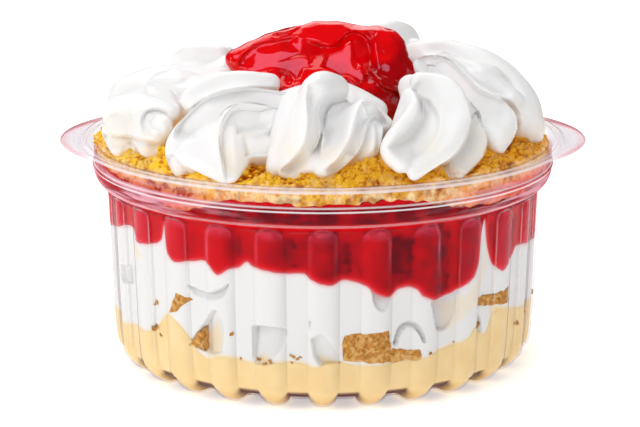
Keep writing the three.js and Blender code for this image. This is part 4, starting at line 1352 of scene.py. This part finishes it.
def build_sponge(settings):
    depth = settings.relief / MM
    piped = piped_surface()

    def lumps(azimuth):
        return sum(height * math.sin(count * math.radians(azimuth) + phase)
                   for height, count, phase in SPONGE_WAVES)

    def top_row(radius, height, share):
        return lambda azimuth: (radius, height + share * lumps(azimuth + radius))

    edge_radius, edge_top, _ = SPONGE_RINGS[0]

    def side_row(share):
        return lambda azimuth: (edge_radius, mix(sponge_edge(azimuth), edge_top, share))

    rows = list(reversed(level_rows(sponge_edge, LEVEL["fruit_top"])))
    count = WALL_ROWS["sponge"]
    rows += [side_row(i / count) for i in range(count)]
    rows += [top_row(*ring) for ring in smooth_line(SPONGE_RINGS, RINGS_BETWEEN)]
    last_share = SPONGE_RINGS[-1][2]
    for i in range(1, CORE_RINGS + 1):
        inwards = i / CORE_RINGS
        rows.append(top_row(mix(INNER_RADIUS, CORE_RADIUS, inwards), SPONGE_TOP,
                            last_share * (1 - inwards)))
    rows.append(lambda azimuth: (0, SPONGE_TOP))
    bm = spun_body(rows, "sponge")
    paint(bm, "relief", lambda place: 0.5 + 0.5 * crumbly(place))
    paint(bm, "side", lambda place: soft_step(54.2, 52.6, place.z))

    def move(place):
        if place.xy.length < CORE_RADIUS or place.z < LEVEL["sponge_side"]:
            return 0
        at_wall = soft_step(53.8, 52.2, place.z)
        near_rim = 1 - 0.6 * soft_step(50, 53, place.xy.length)
        value = crumbly(place)
        gap = piped.find_nearest(place, SINK["search"])[3]
        if gap is not None:
            value = mix(value, 0.3 * value - 0.5, soft_step(SINK["from"], SINK["to"], gap))
        return mix(depth * value * near_rim, 0.5 * min(0, value), at_wall)

    displaced(bm, move)
    anchors = [vert.co.copy() for vert in bm.verts
               if vert.co.z > FLANGE_Z[1] and vert.co.xy.length > ANCHOR_RADIUS]
    finished(bm, "crumbly_sponge", sponge_look(settings), ["top_sponge"])
    return anchors


def crumb_meshes(rng):
    """Some irregular crumbs of about 1 mm."""
    meshes = []
    for _ in range(CRUMB_KINDS):
        bm = bmesh.new()
        bmesh.ops.create_icosphere(bm, subdivisions=2, radius=1)
        shift = Vector([rng.uniform(0, 90) for _ in range(3)])
        for vert in bm.verts:
            vert.co *= 1 + 1.2 * noise.noise(vert.co * 1.9 + shift)
        meshes.append(as_mesh(bm, "crumb"))
    return meshes


def add_crumb(bm, meshes, place, size, rng):
    """One of the crumbs, turned and stretched."""
    mesh = rng.choice(meshes)
    stretch = [size * rng.uniform(0.6, 1.3) for _ in range(3)]
    turn = Matrix.Rotation(rng.uniform(0, math.tau), 4, Vector([rng.uniform(-1, 1), 0.3, 0.5]))
    move = Matrix.Translation(place) @ turn @ Matrix.Diagonal((*stretch, 1))
    mesh.transform(move)
    bm.from_mesh(mesh)
    mesh.transform(move.inverted())


def build_loose_crumbs(settings, anchors):
    rng = random.Random(5)
    meshes = crumb_meshes(rng)
    bm = bmesh.new()
    for place in rng.sample(anchors, settings.crumbs):
        add_crumb(bm, meshes, place, 0.25 + 0.75 * rng.random() ** 2, rng)
    paint(bm, "relief", lambda place: 0.8)
    paint(bm, "side", lambda place: 0)
    finished(bm, "loose_crumbs", sponge_look(settings))


def build_chunks(filling):
    material = crumb_look(filling)
    skin = Skin(filling.inset / MM - 0.1)
    for (name, (corners, depth)), shape in zip(CHUNKS.items(), CHUNK_SHAPES):
        bm = bmesh.new()
        bmesh.ops.create_cube(bm, size=2)
        bmesh.ops.subdivide_edges(bm, edges=bm.edges, cuts=CHUNK_CUTS, use_grid_fill=True)
        low_left, low_right, top_right, top_left = (Vector(corner) for corner in corners)
        for vert in bm.verts:
            across, inward, up = vert.co
            low = low_left.lerp(low_right, (across + 1) / 2)
            azimuth, height = low.lerp(top_left.lerp(top_right, (across + 1) / 2), (up + 1) / 2)
            rough = polar(azimuth, SIDE_RADIUS, height)
            height += 0.55 * wobble(rough, CHUNK_GRAIN) * abs(up)
            aside = 0.6 * wobble(rough + Vector((9, 0, 0)), CHUNK_GRAIN)
            azimuth += math.degrees(aside / SIDE_RADIUS)
            corner = soft_step(0.8, 1.0, max(abs(across), abs(up)))
            wall = skin.radius(azimuth, height) - 0.35 * corner ** 3
            vert.co = polar(azimuth, wall - depth * (inward + 1) / 2, height)

        def relief(place):
            azimuth = azimuth_of(place)
            if skin.radius(azimuth, place.z) - place.xy.length > 1:
                return 0
            within = inside(on_wall(azimuth, place.z), *shape)
            return 0.8 * soft_step(0, 1.2, within) * min(0, crumbly(place))

        displaced(bm, relief)
        finished(bm, f"soaked_sponge_{name}", material, [f"sponge_chunk_{name}"])


def build_specks(filling):
    rng = random.Random(11)
    meshes = crumb_meshes(rng)
    skin = Skin(filling.inset / MM)
    bm = bmesh.new()
    back = [(180 - azimuth, height, size) for azimuth, height, size in WALL_SPECKS[::2]]
    for azimuth, height, size in WALL_SPECKS + back:
        for _ in range(CRUMBS_PER_SPECK):
            turn, up = rng.uniform(-0.7, 0.7) * size, rng.uniform(-0.5, 0.5) * size
            at = azimuth + math.degrees(turn / SIDE_RADIUS)
            place = polar(at, skin.radius(at, height + up) - 0.35 * size, height + up)
            add_crumb(bm, meshes, place, size * 0.62, rng)
    finished(bm, "wall_specks", crumb_look(filling))


def sphere_points():
    bm = bmesh.new()
    bmesh.ops.create_icosphere(bm, subdivisions=2, radius=1)
    points = [v.co.copy() for v in bm.verts]
    bm.free()
    return points


def add_hull(bm, balls, sphere):
    """The convex hull of some balls, as one more closed body."""
    part = bmesh.new()
    for x, y, z, radius in balls:
        for direction in sphere:
            part.verts.new(Vector((x, y, z)) + direction * radius)
    hull = bmesh.ops.convex_hull(part, input=part.verts)
    spare = {item for key in ("geom_interior", "geom_unused") for item in hull[key]
             if isinstance(item, bmesh.types.BMVert)}
    bmesh.ops.delete(part, geom=list(spare), context="VERTS")
    bmesh.ops.recalc_face_normals(part, faces=part.faces)
    mesh = as_mesh(part, "hull")
    bm.from_mesh(mesh)
    bpy.data.meshes.remove(mesh)


def joined_fans(shape, detail, smoothing):
    """A core and its fans grown together into one soft surface."""
    sphere = sphere_points()
    bm = bmesh.new()
    add_hull(bm, [shape["core"]], sphere)
    for hinge, crest in shape["fins"]:
        line = smooth_line(crest, CREST_STEPS)
        for pair in zip(line, line[1:]):
            add_hull(bm, [hinge, *pair], sphere)
    return with_modifiers(bm, [
        ("REMESH", {"mode": "VOXEL", "voxel_size": detail / MM}),
        ("SMOOTH", {"factor": 0.5, "iterations": smoothing}),
    ])


def ribbed(bm, core):
    """Presses the nozzle's grooves into what the front view doesn't show."""
    bm.normal_update()
    moves = []
    for vert in bm.verts:
        behind = soft_step(0.1, 0.5, vert.normal.dot(VIEW))
        turn = math.atan2(vert.co.y - core[1], vert.co.x - core[0])
        rope = abs(math.sin(RIBS["turns"] * turn + vert.co.z / RIBS["rise"]))
        moves.append((vert, vert.normal * behind * RIBS["depth"] * (rope - 0.75)))
    shift(moves)


def build_swirls(settings):
    material = piped_cream_look(settings)

    def finish(bm, name):
        finished(bm, f"piped_swirl_{name}", material, [f"cream_swirl_{name}"])

    for name, shape in SWIRLS.items():
        bm = joined_fans(shape, settings.detail, SMOOTHING["cream"])
        displaced(bm, lambda place: 0.25 * wobble(place, 7))
        fold_in(bm, FOLDS[name], FOLD_GAIN["cream"])
        if name in RIBS["on"]:
            ribbed(bm, shape["core"])
        for back, (model, turn, height) in BACK_SWIRLS.items():
            if model == name:
                copy = bm.copy()
                foot = Matrix.Translation((0, 0, SWIRL_FOOT))
                bmesh.ops.transform(copy, verts=copy.verts, matrix=(
                    foot @ Matrix.Diagonal((1, 1, height, 1)) @ foot.inverted()
                    @ Matrix.Rotation(math.radians(turn), 4, "Z")))
                finish(copy, back)
        finish(bm, name)


def flatten(bm, outline, normal):
    """Flattens the front inside an outline of the view."""
    shape = [Vector(point) for point in outline + outline[:1]]
    box = box_of(shape)
    bm.normal_update()
    within = {vert: inside(seen(vert.co), shape, box) for vert in bm.verts
              if vert.normal.dot(VIEW) < -0.1}
    within = {vert: distance for vert, distance in within.items() if distance}
    middle = sum((vert.co for vert in within), Vector()) / len(within)
    for vert, distance in within.items():
        back = -(vert.co - middle).dot(normal) / VIEW.dot(normal)
        back = min(FACET_PUSH, max(-FACET_PUSH, back))
        vert.co += VIEW * back * soft_step(0, FACET_EDGE, distance)


def build_jam(settings):
    bm = joined_fans(JAM, settings.detail, SMOOTHING["jam"])

    def fold(place):
        streak = wobble(Vector((place.x / 2.2, place.y, place.z * 1.2)), 5)
        return 0.7 * streak + 0.25 * wobble(place, 3)

    displaced(bm, fold)
    fold_in(bm, FOLDS["jam"], FOLD_GAIN["jam"])
    for outline in JAM_FACETS:
        flatten(bm, outline, FACET_NORMAL)
    displaced(bm, lambda place: 0.05 * wobble(place, 1.6))
    finished(bm, "glossy_jam", jam_look(settings), ["jam"])


# ---- The stage ----
def add_lamp(name, power):
    place, size, hidden_from = LAMPS[name]
    data = bpy.data.lights.new(name, "AREA")
    data.shape = "RECTANGLE"
    data.size, data.size_y = size
    data.energy = power
    lamp = in_scene(name, data)
    lamp.location = place
    lamp.rotation_euler = (LAMP_AIM - Vector(place)).to_track_quat("-Z", "Y").to_euler()
    if hidden_from:
        setattr(lamp, hidden_from, False)
    return lamp


def build_stage(settings):
    bm = bmesh.new()
    bmesh.ops.create_grid(bm, x_segments=2, y_segments=2, size=FLOOR_SIZE)
    bmesh.ops.scale(bm, vec=(MM, MM, MM), verts=bm.verts)
    floor = in_scene("floor", as_mesh(bm, "floor"))
    floor.data.materials.append(floor_look(settings))

    world = bpy.data.worlds.new("soft_white")
    world.use_nodes = True
    nodes, links = world.node_tree.nodes, world.node_tree.links
    background = nodes["Background"]
    background.inputs["Color"].default_value = (1, 1, 1, 1)
    ray, strength = nodes.new("ShaderNodeLightPath"), nodes.new("ShaderNodeMapRange")
    strength.inputs["To Min"].default_value = settings.sky
    strength.inputs["To Max"].default_value = settings.reflected_sky
    links.new(ray.outputs["Is Glossy Ray"], strength.inputs["Value"])
    links.new(strength.outputs["Result"], background.inputs["Strength"])
    scene = bpy.context.scene
    scene.world = world
    scene.view_settings.view_transform = "Standard"
    scene.cycles.transparent_max_bounces = 24

    lamps = {name: add_lamp(name, getattr(settings, name)) for name in LAMPS}
    lamps["gleam"].data.color = settings.gleam_tint[:3]

    data = bpy.data.cameras.new("camera")
    data.lens = CAMERA["lens"]
    data.sensor_width = CAMERA["sensor"]
    data.clip_start = 0.01
    camera = in_scene("camera", data)
    camera.location = Vector(CAMERA["target"]) - CAMERA["distance"] * VIEW
    camera.rotation_euler = (math.pi / 2 - TILT, 0, 0)
    scene.camera = camera


# ---- Operators ----
class DESSERT_OT_stage(bpy.types.Operator):
    """Floor, lamps, sky and camera"""
    bl_idname = "dessert.stage"
    bl_label = "Stage"

    def execute(self, context):
        build_stage(context.scene.dessert_stage)
        return {"FINISHED"}


class DESSERT_OT_cup(bpy.types.Operator):
    """The clear fluted cup with its flange and two pull tabs"""
    bl_idname = "dessert.cup"
    bl_label = "Cup"

    def execute(self, context):
        build_cup(context.scene.dessert_cup)
        return {"FINISHED"}


class DESSERT_OT_filling(bpy.types.Operator):
    """Custard, cream and fruit, with the sponge chunks and crumbs at the wall"""
    bl_idname = "dessert.filling"
    bl_label = "Filling"

    def execute(self, context):
        for build in (build_custard, build_layer_cream, build_fruit, build_chunks, build_specks):
            build(context.scene.dessert_filling)
        return {"FINISHED"}


class DESSERT_OT_sponge(bpy.types.Operator):
    """The crumbly sponge on top, with loose crumbs"""
    bl_idname = "dessert.sponge"
    bl_label = "Sponge"

    def execute(self, context):
        settings = context.scene.dessert_sponge
        build_loose_crumbs(settings, build_sponge(settings))
        return {"FINISHED"}


class DESSERT_OT_swirls(bpy.types.Operator):
    """The ring of piped cream swirls"""
    bl_idname = "dessert.swirls"
    bl_label = "Swirls"

    def execute(self, context):
        build_swirls(context.scene.dessert_cream)
        return {"FINISHED"}


class DESSERT_OT_jam(bpy.types.Operator):
    """The glossy heap of jam"""
    bl_idname = "dessert.jam"
    bl_label = "Jam"

    def execute(self, context):
        build_jam(context.scene.dessert_jam)
        return {"FINISHED"}


class DESSERT_PT_panel(bpy.types.Panel):
    """Settings and steps of the dessert"""
    bl_idname = "DESSERT_PT_panel"
    bl_label = "Layered Cup Dessert"
    bl_space_type = "VIEW_3D"
    bl_region_type = "UI"
    bl_category = "Dessert"

    def draw(self, context):
        for group, _, operators in STEPS:
            box = self.layout.box()
            settings = getattr(context.scene, group)
            for key in settings.__annotations__:
                box.prop(settings, key)
            for operator in operators:
                box.operator(operator)


STEPS = [
    ("dessert_stage", StageSettings, ["dessert.stage"]),
    ("dessert_cup", CupSettings, ["dessert.cup"]),
    ("dessert_filling", FillingSettings, ["dessert.filling"]),
    ("dessert_sponge", SpongeSettings, ["dessert.sponge"]),
    ("dessert_cream", CreamSettings, ["dessert.swirls"]),
    ("dessert_jam", JamSettings, ["dessert.jam"]),
]
CLASSES = [group for _, group, _ in STEPS] + [
    DESSERT_OT_stage, DESSERT_OT_cup, DESSERT_OT_filling, DESSERT_OT_sponge,
    DESSERT_OT_swirls, DESSERT_OT_jam, DESSERT_PT_panel,
]


def register():
    for item in CLASSES:
        bpy.utils.register_class(item)
    for name, group, _ in STEPS:
        setattr(bpy.types.Scene, name, PointerProperty(type=group))


def unregister():
    for name, _, _ in STEPS:
        delattr(bpy.types.Scene, name)
    for item in reversed(CLASSES):
        bpy.utils.unregister_class(item)


def main():
    register()
    for _, _, operators in STEPS:
        for operator in operators:
            group, name = operator.split(".")
            getattr(getattr(bpy.ops, group), name)()


if __name__ == "__main__":
    main()
